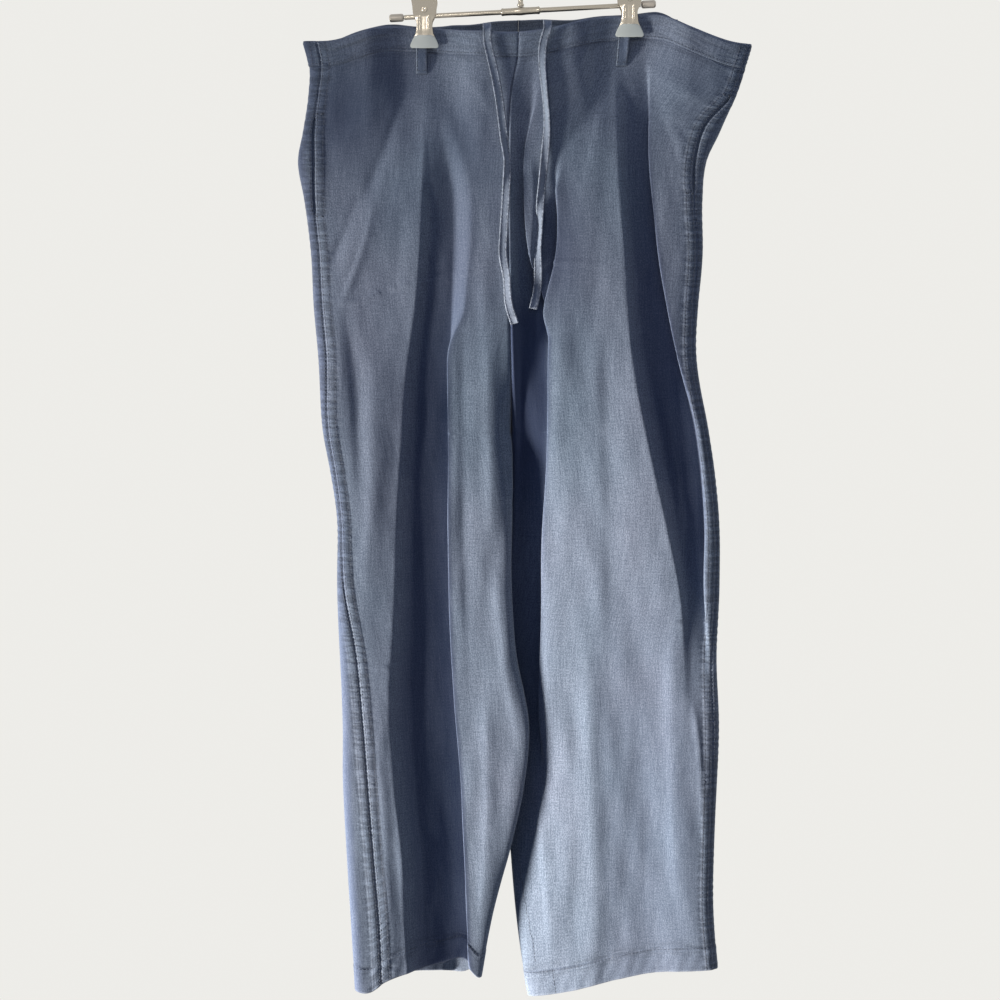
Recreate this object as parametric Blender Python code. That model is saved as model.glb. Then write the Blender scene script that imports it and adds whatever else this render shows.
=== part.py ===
"""Wide linen trousers with a drawstring waist, hanging from a metal clip hanger.

Sizes are in millimetres until a mesh is made. X runs to the right as seen from the
front, Y runs backwards and Z runs up. A drop is a distance below the hanger's bar.
The origin is where the hook rests on a rail.
"""

import math

import bmesh
import bpy
import numpy as np
from mathutils import Matrix, Vector

MM = 0.001
GAP = 0.3
HOOK_TO_BAR = 85.0

WALL = 1.5
BAND_WALL = 2.6
BAND_PROUD = 0.6
BAND_TOP = 20.0
HEM = 1005.0
HEM_HEIGHT = 26.0
HEM_PROUD = 0.6

CREASE_START = 215.0
CROTCH = 430.0
OUTER_ROUNDNESS = 2.8
INNER_ROUNDNESS = 2.2
LEG_APART = 0.25
THINNING = 0.025

# One row for each height. Outer and inner are the edges of each leg seen from the
# front, front and back are how far the cloth stands off the middle, tilt brings the
# left leg's inner edge forward and the right leg's back, and the two seam columns are
# how far the side seams lie in from the outer edges on the front.
OUTLINE_COLUMNS = (
    "drop", "left_outer", "left_inner", "right_inner", "right_outer",
    "front", "back", "tilt", "left_seam", "right_seam",
)
OUTLINE = (
    (20, -222, -2, -2, 236, 15, 17, 0, 15, 4),
    (45, -216, -3, -3, 229, 15, 17, 0, 13, 4),
    (75, -217, -9, -9, 220, 17, 18, 0, 11, 5),
    (119, -223, -12, -12, 204, 20, 20, 0, 12, 18),
    (150, -228, -13, -13, 191, 22, 22, 0, 17, 13),
    (190, -222, -13, -13, 187, 24, 24, 0, 11, 10),
    (243, -216, -12, -12, 188, 26, 26, 0, 10, 8),
    (300, -213, -11, -11, 183, 28, 28, 0, 10, 6),
    (345, -209, -10, -10, 181, 29, 29, 0, 10, 5),
    (430, -204, -9, -9, 195, 30, 30, 0, 7, 5),
    (468, -197, -9, -9, 201, 29, 29, 7, 6, 5),
    (510, -191, -8, -11, 206, 28, 28, 11, 5, 5),
    (587, -191, -9, -15, 208, 27, 27, 14, 8, 5),
    (662, -189, -4, -17, 206, 27, 27, 16, 18, 6),
    (743, -187, 10, -17, 210, 26, 26, 19, 23, 8),
    (803, -187, 5, -15, 208, 26, 26, 17, 27, 6),
    (874, -184, -10, -10, 206, 25, 25, 12, 29, 5),
    (935, -180, -27, -3, 206, 25, 25, 7, 30, 5),
    (1005, -176, -41, 9, 211, 25, 25, 4, 29, 4),
)

# Top edge of the front waistband, and how much higher the back one is.
WAIST_LINE = (
    (-222, 31), (-195, 31), (-138, 16), (-89, 17), (-41, 21), (0, 22), (30, 18),
    (78, 7), (111, 4), (142, 4), (173, 17), (222, 33), (236, 34),
)
BACK_RISE = (
    (-205, 0), (-175, 6), (-140, 4), (-98, 1), (-60, 7), (-20, 15), (20, 14), (60, 5),
    (85, 2), (111, 1), (150, 4), (200, 0),
)
WAIST_FADE = (45.0, 170.0)

# Drop of each leg's hem, a row for each place across it.
HEM_COLUMNS = ("x", "front", "back")
LEFT_HEM = (
    (-178, 1025, 1025), (-160, 1027, 1024), (-143, 1016, 1021), (-122, 1009, 1019),
    (-86, 1003, 1021), (-58, 1001, 1024), (-44, 1016, 1016), (-34, 1012, 1012),
)
RIGHT_HEM = (
    (9, 1040, 1040), (50, 1031, 1033), (87, 1020, 1024), (141, 1007, 1011),
    (211, 1001, 1001),
)
HEM_FADE = (820.0, 1005.0)

# A fold runs from a soft start to a deep end, and then steps back out.
FOLD_COLUMNS = ("drop", "start", "end", "depth")
FOLD_STEP = 10.0
FOLDS = {
    ("left", "front"): (
        ((110, -100, -84, 0), (170, -101, -72, 7), (289, -108, -71, 10),
         (357, -117, -73, 12), (439, -124, -73, 14), (539, -130, -73, 15),
         (620, -133, -72, 16), (703, -138, -68, 16), (798, -134, -61, 17),
         (883, -126, -57, 17), (968, -123, -54, 16), (1005, -121, -53, 15)),
        ((30, -200, -113, 2), (60, -203, -118, 6), (100, -206, -125, 8),
         (143, -210, -143, 8), (190, -211, -176, 4), (230, -211, -190, 0)),
    ),
    ("right", "front"): (
        ((40, 90, 122, 2), (69, 94, 127, 6), (171, 104, 135, 10), (261, 109, 146, 12),
         (353, 115, 164, 12), (428, 129, 182, 11), (523, 156, 197, 8),
         (600, 172, 199, 5), (680, 186, 200, 0)),
        ((30, -2, 14, 0), (80, -12, 16, 4), (171, -12, 17, 6), (300, -10, 22, 8),
         (430, -6, 26, 6), (520, -4, 30, 0)),
        ((560, 60, 110, 0), (720, 70, 122, 5), (880, 76, 132, 7), (1005, 80, 136, 6)),
    ),
    ("left", "back"): (
        ((90, -40, -62, 0), (180, -44, -74, 7), (330, -52, -90, 11),
         (520, -60, -104, 13), (760, -66, -116, 13), (1005, -70, -118, 11)),
        ((40, -150, -126, 3), (100, -162, -124, 6), (230, -180, -136, 5),
         (330, -188, -150, 0)),
    ),
    ("right", "back"): (
        ((60, 100, 128, 3), (170, 96, 134, 8), (340, 92, 140, 11), (560, 96, 152, 13),
         (780, 92, 150, 12), (1005, 88, 142, 10)),
        ((40, 26, 4, 0), (120, 34, 4, 5), (280, 44, 8, 8), (400, 56, 18, 3),
         (450, 60, 22, 0)),
    ),
}

# The clips press front and back together.
CLIP_PLACES = {"left": -98.0, "right": 111.0}
PINCH_FLAT = 18.0
PINCH_REACH = 62.0
PINCH_FADE = (45.0, 150.0)
PINCH_STAND_OFF = GAP / 2 + BAND_WALL - BAND_PROUD

# Pocket slits in the side seams, from their top to their bottom bartack.
POCKETS = {"left": (99.0, 209.0), "right": (76.0, 185.0)}
SLIT_HALF = 1.4
FACING_WALL = 1.0
FACING_BACK = 0.3

PANEL_ROWS = (
    45, 58, 74, 92, 112, 135, 160, 190, 225, 265, 310, 350, 385, 415, 430, 446, 470,
    505, 550, 605, 665, 725, 785, 845, 900, 945, 977, 980, 1005,
)
PANEL_COLUMNS = {"front": 18, "back": 19}
BAND_ROWS = (20, 32, 45)
FINE_POINTS = 160
BEND_WEIGHT = 11.0

# Belt loops: leg, side, x and drop of the top, x and drop of the foot.
BELT_LOOPS = {
    "belt_loop_front_left": ("left", "front", -101, 20, -101, 63),
    "belt_loop_front_right": ("right", "front", 107, 8, 103, 55),
    "belt_loop_back_left": ("left", "back", -152, 20, -152, 66),
    "belt_loop_back_centre": ("left", "back", -11, 14, -11, 60),
    "belt_loop_back_right": ("right", "back", 156, 6, 157, 52),
}
LOOP_WIDTH = 11.0
LOOP_WALL = 1.4
LOOP_STAND_OFF = (1.0, 1.0, 1.1, 2.6, 2.2, 0.35)

# Free ends of the drawstring: x, drop and how far its middle stands off the cloth.
STRING_THICK = 3.4
STRING_TOP = 9.0
STRINGS = {
    "left": (
        (-34, 22, 6.0), (-34, 30, 4.0), (-31, 45, 3.2), (-27, 62, 3.4), (-21, 96, 3.2),
        (-17, 128, 3.0), (-14, 158, 3.0), (-15, 189, 3.0), (-17, 221, 3.0),
        (-18, 247, 3.0), (-14, 271, 3.4), (-12, 297, 4.0), (-6, 317, 6.5),
    ),
    "right": (
        (27, 20, 6.0), (24, 29, 4.0), (22, 42, 3.2), (22, 54, 3.4), (25, 85, 3.2),
        (27, 113, 3.0), (25, 143, 3.0), (22, 172, 3.0), (20, 195, 3.2),
        (20, 221, 3.4), (18, 243, 3.6), (18, 261, 4.0), (17, 284, 4.5), (13, 302, 5.0),
    ),
}
STRING_POINTS = 44

# Clip hanger.
BAR_THICK = 5.0
BAR_ENDS = (-134.0, 138.0)
BAR_RISE = 14.5
CAP_LONG = 15.0
CAP_THICK = 8.0
SLEEVE_LONG = 40.0
SLEEVE_THICK = 8.0
SWIVEL_THICK = 7.0
SWIVEL_HIGH = 11.0
HOOK_WIRE = 3.6
HOOK_RADIUS = 22.0
HOOK_STEM_TURN = 48.0
BARREL_THICK = 10.0
BARREL_LONG = 15.0
JAW_WALL = 1.6
# Rows of a clip's jaw: height over the bar, width, and how far its inner face is from
# the middle plane at the front and at the back.
JAW_COLUMNS = ("height", "width", "front", "back")
JAW = (
    (23.0, 18.0, 14.5, 14.5),
    (20.0, 23.0, 14.0, 14.0),
    (8.0, 24.0, 9.0, 9.0),
    (0.0, 22.0, 5.3, 5.3),
    (-5.0, 17.0, 5.3, 5.0),
    (-15.0, 17.0, 5.4, 3.6),
    (-18.0, 18.0, 5.1, 3.1),
    (-20.0, 20.0, 4.95, 3.05),
    (-30.0, 29.0, 4.95, 3.05),
    (-32.5, 30.0, 4.95, 3.05),
)

CLOTH = ("slate blue linen", (0.115, 0.143, 0.196), 0.85, 0.0)
TAPE = ("linen tape", (0.13, 0.16, 0.21), 0.8, 0.0)
STEEL = ("plated steel", (0.62, 0.59, 0.55), 0.25, 1.0)
PLASTIC = ("grey plastic", (0.42, 0.45, 0.44), 0.45, 0.0)


def remove_everything():
    for thing in list(bpy.data.objects):
        bpy.data.objects.remove(thing, do_unlink=True)


def material(kind):
    """A Principled material for a (name, colour, roughness, metallic) row."""
    name, colour, roughness, metallic = kind
    found = bpy.data.materials.get(name)
    if found:
        return found
    made = bpy.data.materials.new(name)
    made.use_nodes = True
    shader = made.node_tree.nodes["Principled BSDF"]
    shader.inputs["Base Color"].default_value = (*colour, 1.0)
    shader.inputs["Roughness"].default_value = roughness
    shader.inputs["Metallic"].default_value = metallic
    return made


def ease(value, low, high):
    """0 below low, 1 above high, with a soft rise between them."""
    part = np.clip((np.asarray(value, float) - low) / (high - low), 0.0, 1.0)
    return part * part * (3.0 - 2.0 * part)


def along(rows, at):
    """Each column of a table read at a place on a smooth curve through its rows."""
    table = np.array(rows, float)
    places, values = table[:, 0], table[:, 1:]
    slopes = np.gradient(values, places, axis=0)
    at = np.clip(np.atleast_1d(np.asarray(at, float)), places[0], places[-1])
    row = np.clip(np.searchsorted(places, at, side="right") - 1, 0, len(places) - 2)
    long = (places[row + 1] - places[row])[:, None]
    part = (at[:, None] - places[row][:, None]) / long
    square, cube = part * part, part * part * part
    return (
        values[row] * (2 * cube - 3 * square + 1)
        + slopes[row] * (cube - 2 * square + part) * long
        + values[row + 1] * (3 * square - 2 * cube)
        + slopes[row + 1] * (cube - square) * long
    )


def read(columns, rows, at):
    """A table's columns at a place, by name."""
    return dict(zip(columns[1:], along(rows, at)[0]))


def outline(drop):
    return read(OUTLINE_COLUMNS, OUTLINE, drop)


def edges_of(leg, drop):
    """Outer edge, inner edge, seam place and the inner edge's shift for one leg."""
    sizes = outline(drop)
    outward = -1.0 if leg == "left" else 1.0
    outer = sizes[leg + "_outer"]
    inner = sizes[leg + "_inner"] + outward * LEG_APART
    seam = outer - outward * sizes[leg + "_seam"]
    return outer, inner, seam, outward * max(sizes["tilt"], 0.0)


def pinch(x, drop):
    """How far the clips press the cloth flat, from 0 to 1."""
    pressed = np.zeros_like(x)
    for place in CLIP_PLACES.values():
        near = 1.0 - ease(np.abs(x - place), PINCH_FLAT, PINCH_REACH)
        pressed = np.maximum(pressed, near)
    return pressed * (1.0 - ease(drop, *PINCH_FADE))


def fold_depth(leg, side, x, drop):
    """How far the folds take the cloth in from its outer line."""
    depth = np.zeros_like(x)
    for rows in FOLDS[leg, side]:
        if drop < rows[0][0] or drop > rows[-1][0]:
            continue
        fold = read(FOLD_COLUMNS, rows, drop)
        wide = fold["end"] - fold["start"]
        slope = ease((x - fold["start"]) / wide, 0.0, 1.0)
        step = ease((x - fold["end"]) * math.copysign(1.0, wide), 0.0, FOLD_STEP)
        depth += max(fold["depth"], 0.0) * slope * (1.0 - step)
    return depth


def half_line(leg, side, drop):
    """One side of a leg's section, from its outer edge to its inner end."""
    outer, inner, _, shift = edges_of(leg, drop)
    stand = outline(drop)[side]
    facing = -1.0 if side == "front" else 1.0
    below_crotch = np.clip((drop - CREASE_START) / (CROTCH - CREASE_START), 0.0, 1.0)
    last = math.pi / 2 * (1.0 + below_crotch)
    turn = np.linspace(0.0, last, FINE_POINTS)
    power = 2.0 / np.where(turn < math.pi / 2, OUTER_ROUNDNESS, INNER_ROUNDNESS)
    across = np.sign(np.cos(turn)) * np.abs(np.cos(turn)) ** power
    half_width = (inner - outer) / (1.0 - across[-1])
    x = outer + half_width * (1.0 - across)
    y = stand * np.abs(np.sin(turn)) ** power
    clear = ease(np.abs(x - outer), 0.0, 14.0) * ease(np.abs(x - inner), 0.0, 10.0)
    y = y - fold_depth(leg, side, x, drop) * clear
    pressed = pinch(x, drop)
    y = np.where(y > PINCH_STAND_OFF, y + (PINCH_STAND_OFF - y) * pressed, y)
    middle = (outer + inner) / 2
    lean = np.clip((x - middle) / (inner - middle), 0.0, 1.0) ** 2
    thin = 1.0 - THINNING * abs(shift) * lean
    return np.stack([x, facing * y * thin + shift * lean], axis=1)


def section(leg, drop):
    """A leg's whole section, its distances along the line, and its directions.

    The line runs from the back's inner end round the outer edge to the front's.
    """
    front = half_line(leg, "front", drop)
    back = half_line(leg, "back", drop)
    line = np.concatenate([back[::-1], front[1:]])
    steps = np.linalg.norm(np.diff(line, axis=0), axis=1)
    distance = np.concatenate([[0.0], np.cumsum(steps)])
    direction = np.gradient(line, distance, axis=0)
    if drop >= CROTCH:
        direction[0] = direction[-1] = (0.0, 1.0)
    direction /= np.linalg.norm(direction, axis=1)[:, None]
    return line, distance, direction


def seam_distance(leg, line, distance, drop):
    """How far along a section its side seam lies."""
    seam = edges_of(leg, drop)[2]
    start = FINE_POINTS - 1
    reach = np.abs(line[start:, 0] - line[start, 0])
    stop = int(np.argmax(reach > 45.0))
    want = abs(seam - line[start, 0])
    return float(np.interp(want, reach[:stop], distance[start : start + stop]))


def stretch_of(leg, side, line, distance, drop):
    """The two ends of one panel along a section, clear of its seams."""
    seam = seam_distance(leg, line, distance, drop)
    clear = GAP / 2
    top, bottom = POCKETS[leg]
    slit = ease(drop, top, top + 8.0) * (1.0 - ease(drop, bottom - 8.0, bottom))
    side_clear = clear + SLIT_HALF * float(slit)
    if side == "front":
        return seam + side_clear, distance[-1] - clear
    return clear, seam - side_clear


def spread(line, distance, direction, ends, count):
    """Points along part of a section, closer together where it bends."""
    angles = np.unwrap(np.arctan2(direction[:, 1], direction[:, 0]))
    bend = np.concatenate([[0.0], np.cumsum(np.abs(np.diff(angles)))])
    measure = distance + BEND_WEIGHT * bend
    first, last = np.interp(ends, distance, measure)
    wanted = np.interp(np.linspace(first, last, count), measure, distance)
    return wanted


def waist_shift(side, x, drop):
    """How far the waist's own line lowers or lifts the cloth."""
    shift = along(WAIST_LINE, x)[:, 0] - BAND_TOP
    if side == "back":
        shift = shift - along(BACK_RISE, x)[:, 0]
    return shift * (1.0 - ease(drop, *WAIST_FADE))


def hem_shift(leg, side, x, drop):
    """How far the hem's own line lowers or lifts the cloth."""
    rows = LEFT_HEM if leg == "left" else RIGHT_HEM
    column = HEM_COLUMNS.index(side) - 1
    shift = along(rows, x)[:, column] - HEM
    return shift * ease(drop, *HEM_FADE)


def height(leg, side, x, y, drop):
    """Height of cloth points, with the waist's and the hem's own lines."""
    part_back = ease(y, -4.0, 4.0) if side == "back" else np.zeros_like(x)
    front = waist_shift("front", x, drop) + hem_shift(leg, "front", x, drop)
    back = waist_shift("back", x, drop) + hem_shift(leg, "back", x, drop)
    return -HOOK_TO_BAR - drop - front * (1.0 - part_back) - back * part_back


def cloth_row(leg, side, drop, proud, wall, count, ends=None):
    """Outer and inner points of one row of a panel, moved out by proud."""
    line, distance, direction = section(leg, drop)
    if ends is None:
        ends = stretch_of(leg, side, line, distance, drop)
    wanted = spread(line, distance, direction, ends, count)
    x = np.interp(wanted, distance, line[:, 0])
    y = np.interp(wanted, distance, line[:, 1])
    tangent_x = np.interp(wanted, distance, direction[:, 0])
    tangent_y = np.interp(wanted, distance, direction[:, 1])
    size = np.hypot(tangent_x, tangent_y)
    outward = 1.0 if leg == "left" else -1.0
    normal = outward * np.stack([tangent_y, -tangent_x], axis=1) / size[:, None]
    z = height(leg, side, x, y, drop)
    flat = np.stack([x, y], axis=1)
    outer = np.column_stack([flat + normal * proud, z])
    inner = np.column_stack([flat + normal * (proud - wall), z])
    return outer, inner


def wall_object(name, outer, inner, kind):
    """A closed wall between two grids of points, given as rows of points."""
    outer, inner = np.array(outer), np.array(inner)
    rows, columns = outer.shape[:2]
    shell = bmesh.new()
    bmesh.ops.create_grid(
        shell, x_segments=columns - 1, y_segments=rows - 1, size=0.5
    )
    raised = bmesh.ops.extrude_face_region(
        shell, geom=list(shell.faces), use_keep_orig=True
    )
    lifted = [part for part in raised["geom"] if isinstance(part, bmesh.types.BMVert)]
    bmesh.ops.translate(shell, verts=lifted, vec=(0.0, 0.0, 1.0))
    bmesh.ops.recalc_face_normals(shell, faces=shell.faces)
    for vert in shell.verts:
        column = round((vert.co.x + 0.5) * (columns - 1))
        row = round((vert.co.y + 0.5) * (rows - 1))
        points = inner if vert.co.z > 0.5 else outer
        vert.co = points[row, column] * MM
    if shell.calc_volume(signed=True) < 0.0:
        bmesh.ops.reverse_faces(shell, faces=shell.faces)
    return mesh_object(name, shell, kind)


def mesh_object(name, shell, kind):
    mesh = bpy.data.meshes.new(name)
    shell.to_mesh(mesh)
    shell.free()
    mesh.shade_smooth()
    mesh.set_sharp_from_angle(angle=math.radians(40.0))
    mesh.materials.append(material(kind))
    made = bpy.data.objects.new(name, mesh)
    bpy.context.collection.objects.link(made)
    return made


def panel(leg, side):
    """One of the four panels, from the waistband's seam to the hem."""
    outer, inner = [], []
    for drop in PANEL_ROWS:
        at = drop + GAP / 2 if drop == PANEL_ROWS[0] else drop
        proud = HEM_PROUD if drop > HEM - HEM_HEIGHT else 0.0
        row = cloth_row(leg, side, at, proud, WALL + proud, PANEL_COLUMNS[side] + 1)
        outer.append(row[0])
        inner.append(row[1])
    wall_object(f"{side}_{leg}", outer, inner, CLOTH)


def waistband(leg, side):
    """The folded casing over one panel."""
    outer, inner = [], []
    for drop in BAND_ROWS:
        at = drop - GAP / 2 if drop == BAND_ROWS[-1] else drop
        row = cloth_row(leg, side, at, BAND_PROUD, BAND_WALL, PANEL_COLUMNS[side] + 1)
        outer.append(row[0])
        inner.append(row[1])
    wall_object(f"waistband_{side}_{leg}", outer, inner, CLOTH)


def pocket_facing(leg):
    """The strip of cloth behind a pocket's slit, made from its panels' own points."""
    top, bottom = POCKETS[leg]
    first = max(drop for drop in PANEL_ROWS if drop <= top)
    last = min(drop for drop in PANEL_ROWS if drop >= bottom)
    layers = ([], [])
    for drop in PANEL_ROWS:
        if not first <= drop <= last:
            continue
        inward = -(WALL + 2 * GAP)
        pair = [
            cloth_row(leg, side, drop, inward, FACING_WALL, PANEL_COLUMNS[side] + 1)
            for side in ("front", "back")
        ]
        for layer, front, back in zip(layers, *pair):
            hidden = back[-1] + (back[-2] - back[-1]) * FACING_BACK
            layer.append([hidden, back[-1], front[0], front[1]])
    wall_object(f"pocket_facing_{leg}", *layers, CLOTH)


def nominal_drop(leg, side, x, drop):
    """The drop in the tables of a cloth point that hangs at a real drop."""
    guess = drop
    for _ in range(12):
        place = np.array([x], float)
        shift = waist_shift(side, place, guess) + hem_shift(leg, side, place, guess)
        guess = drop - float(shift[0])
    return guess


def surface(leg, side, x, drop):
    """How far back the panel's outer face lies at a place seen from the front."""
    at = nominal_drop(leg, side, x, drop)
    line = half_line(leg, side, min(max(at, BAND_TOP), HEM))
    order = np.argsort(line[:, 0])
    return float(np.interp(x, line[order, 0], line[order, 1]))


def belt_loop(name, leg, side, top_x, top_drop, foot_x, foot_drop):
    """A strip that stands off the waistband between its two sewn ends."""
    facing = -1.0 if side == "front" else 1.0
    outer, inner = [], []
    steps = len(LOOP_STAND_OFF)
    for step, stand_off in enumerate(LOOP_STAND_OFF):
        part = step / (steps - 1)
        drop = top_drop + (foot_drop - top_drop) * part
        middle = top_x + (foot_x - top_x) * part
        places = [middle - LOOP_WIDTH / 2, middle, middle + LOOP_WIDTH / 2]
        depths = [surface(leg, side, x, drop) for x in places]
        z = -HOOK_TO_BAR - drop
        near = [depth + facing * stand_off for depth in depths]
        far = [depth + facing * LOOP_WALL for depth in near]
        inner.append([(x, depth, z) for x, depth in zip(places, near)])
        outer.append([(x, depth, z) for x, depth in zip(places, far)])
    wall_object(name, outer, inner, CLOTH)


def smooth_points(route, count):
    """Evenly spaced points on a smooth curve through a route's own points."""
    route = np.array(route, float)
    steps = np.linalg.norm(np.diff(route, axis=0), axis=1)
    places = np.concatenate([[0.0], np.cumsum(steps)])
    rows = np.column_stack([places, route])
    return along(rows, np.linspace(0.0, places[-1], count))


def tube(name, points, thick, kind, resolution=2):
    """A round wire or cord along points, with closed ends."""
    curve = bpy.data.curves.new(name, "CURVE")
    curve.dimensions = "3D"
    curve.bevel_depth = thick / 2 * MM
    curve.bevel_resolution = resolution
    curve.use_fill_caps = True
    spline = curve.splines.new("POLY")
    spline.points.add(len(points) - 1)
    for place, point in zip(points, spline.points):
        point.co = (*(place * MM), 1.0)
    curve.materials.append(material(kind))
    made = bpy.data.objects.new(name, curve)
    bpy.context.collection.objects.link(made)
    return made


def string_route(side):
    """From the eyelet inside the waistband, over its top edge and down the front."""
    leg = "left" if side == "left" else "right"
    x = STRINGS[side][0][0]
    edge = along(WAIST_LINE, x)[0, 0]
    face = surface(leg, "front", x, edge + 10.0) + BAND_WALL - BAND_PROUD
    route = [
        (x, face + GAP + 0.8, -HOOK_TO_BAR - edge - 11.0),
        (x, face + 4.0, -HOOK_TO_BAR - edge - 11.0),
        (x, face + 8.0, -HOOK_TO_BAR - edge - 4.0),
        (x, face + 3.5, -HOOK_TO_BAR - edge + STRING_TOP - 3.0),
        (x, face - 3.5, -HOOK_TO_BAR - edge + STRING_TOP - 3.0),
    ]
    for x, drop, stand_off in STRINGS[side]:
        on_band = BAND_PROUD if drop < 50 else 0.0
        depth = surface("left" if x < -12 else "right", "front", x, drop)
        route.append((x, depth - stand_off - on_band, -HOOK_TO_BAR - drop))
    return route


def drawstring(side):
    points = smooth_points(string_route(side), STRING_POINTS)
    tube(f"drawstring_{side}", points, STRING_THICK, TAPE)


def bar_height(x):
    """Height of the bar's middle line, which is not quite level."""
    slope = BAR_RISE / (BAR_ENDS[1] - BAR_ENDS[0])
    return -HOOK_TO_BAR + slope * x


def rod(name, start, end, thick, kind, hole=0.0, sides=16):
    """A round rod between two places, or a ring with a hole along it."""
    start, end = Vector(start), Vector(end)
    long = (end - start).length
    shell = bmesh.new()
    corners = [(thick / 2, 0.0), (thick / 2, long), (hole / 2, long), (hole / 2, 0.0)]
    if hole:
        verts = [shell.verts.new((across, 0.0, up)) for across, up in corners]
        edges = [shell.edges.new((verts[step - 1], verts[step])) for step in range(4)]
        bmesh.ops.spin(
            shell, geom=verts + edges, cent=(0, 0, 0), axis=(0, 0, 1),
            angle=2 * math.pi, steps=sides, use_merge=True,
        )
    else:
        bmesh.ops.create_cone(
            shell, cap_ends=True, segments=sides, radius1=thick / 2,
            radius2=thick / 2, depth=long,
            matrix=Matrix.Translation((0.0, 0.0, long / 2)),
        )
    bmesh.ops.recalc_face_normals(shell, faces=shell.faces)
    turn = (end - start).to_track_quat("Z", "Y").to_matrix().to_4x4()
    place = Matrix.Scale(MM, 4) @ Matrix.Translation(start) @ turn
    bmesh.ops.transform(shell, matrix=place, verts=shell.verts)
    return mesh_object(name, shell, kind)


def on_bar(x):
    return (x, 0.0, bar_height(x))


def hanger():
    """The bar with its end caps, the middle sleeve, the swivel and the hook."""
    left, right = BAR_ENDS
    inset = CAP_LONG + GAP
    rod("hanger_bar", on_bar(left + inset), on_bar(right - inset), BAR_THICK, STEEL)
    rod("hanger_cap_left", on_bar(left), on_bar(left + CAP_LONG), CAP_THICK, PLASTIC)
    rod("hanger_cap_right", on_bar(right - CAP_LONG), on_bar(right), CAP_THICK, PLASTIC)
    half = SLEEVE_LONG / 2
    bore = BAR_THICK + 2 * GAP
    rod("hanger_sleeve", on_bar(-half), on_bar(half), SLEEVE_THICK, STEEL, hole=bore)
    foot = -HOOK_TO_BAR + SLEEVE_THICK / 2 + 2 * GAP
    top = foot + SWIVEL_HIGH
    rod("hanger_swivel", (0.0, 0.0, foot), (0.0, 0.0, top), SWIVEL_THICK, STEEL)
    hook(top + GAP)


def hook(foot):
    """The hook's wire, whose inner top is the origin."""
    centre = HOOK_WIRE / 2 - HOOK_RADIUS
    route = [(0.0, 0.0, foot), (0.0, 0.0, foot + 8.0), (1.5, 0.0, foot + 16.0)]
    for degrees in range(-int(HOOK_STEM_TURN), 211, 20):
        turn = math.radians(degrees)
        x, z = HOOK_RADIUS * math.cos(turn), HOOK_RADIUS * math.sin(turn)
        route.append((x, 0.0, centre + z))
    tube("hanger_hook", smooth_points(route, 30), HOOK_WIRE, STEEL, resolution=3)


def clip(name):
    """A clip on the bar: its spring barrel and two jaws of bent plate."""
    place = CLIP_PLACES[name]
    middle = bar_height(place)
    bore = BAR_THICK + 2 * GAP
    ends = [on_bar(place - BARREL_LONG / 2), on_bar(place + BARREL_LONG / 2)]
    rod(f"clip_{name}_barrel", *ends, BARREL_THICK, STEEL, hole=bore)
    for side in ("front", "back"):
        facing = -1.0 if side == "front" else 1.0
        outer, inner = [], []
        for row in JAW:
            sizes = dict(zip(JAW_COLUMNS, row))
            z = middle + sizes["height"]
            for points, depth in ((inner, 0.0), (outer, JAW_WALL)):
                y = facing * (sizes[side] + depth)
                half = sizes["width"] / 2
                xs = (place - half, place, place + half)
                points.append([(x, y, z) for x in xs])
        wall_object(f"clip_{name}_{side}_jaw", outer, inner, PLASTIC)


def main():
    remove_everything()
    for leg in ("left", "right"):
        for side in ("front", "back"):
            panel(leg, side)
            waistband(leg, side)
        pocket_facing(leg)
        drawstring(leg)
        clip(leg)
    for name, places in BELT_LOOPS.items():
        belt_loop(name, *places)
    hanger()


main()
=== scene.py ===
"""Looks of the wide linen trousers that hang from a metal clip hanger.

Sizes are in millimetres until a mesh is made. The cloth keeps the solids' outline, seams
and hems, and has edges, fold depths and a slight turn of the legs of its own. A drop is a
distance below the hanger's bar.
"""

import functools
import math

import bmesh
import bpy
import numpy as np
from bpy.props import FloatProperty, FloatVectorProperty, PointerProperty
from mathutils import Matrix, Vector


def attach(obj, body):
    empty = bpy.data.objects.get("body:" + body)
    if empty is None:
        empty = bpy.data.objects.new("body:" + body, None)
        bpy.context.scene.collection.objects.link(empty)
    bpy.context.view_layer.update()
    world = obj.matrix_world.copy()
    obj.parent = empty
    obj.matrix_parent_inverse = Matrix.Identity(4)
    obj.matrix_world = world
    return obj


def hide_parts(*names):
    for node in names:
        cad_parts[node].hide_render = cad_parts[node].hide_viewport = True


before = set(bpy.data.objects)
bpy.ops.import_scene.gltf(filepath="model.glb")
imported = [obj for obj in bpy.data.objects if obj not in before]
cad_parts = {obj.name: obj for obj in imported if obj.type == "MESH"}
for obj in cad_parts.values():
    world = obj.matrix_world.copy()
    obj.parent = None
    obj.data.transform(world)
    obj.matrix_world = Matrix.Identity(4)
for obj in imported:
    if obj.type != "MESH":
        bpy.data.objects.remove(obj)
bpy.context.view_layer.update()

bl_info = {
    "name": "Linen trousers on a clip hanger",
    "version": (1, 0, 0),
    "blender": (4, 5, 0),
    "location": "3D View > Sidebar > Linen trousers",
    "description": "Wide drawstring trousers in slub linen, hanging from a clip hanger",
    "category": "Object",
}

MM = 0.001
GAP = 0.3
HOOK_TO_BAR = 85.0
FRONT, BACK = -1.0, 1.0

# Sizes that the solids share.
BAND_WALL = 2.6
BAND_PROUD = 0.6
BAND_TOP = 20.0
BAND_FOOT = 45.0
HEM = 1005.0
HEM_HEIGHT = 26.0
HEM_PROUD = 0.6
WALL = 1.5
CREASE_START = 215.0
CROTCH = 430.0
THINNING = 0.025

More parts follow.
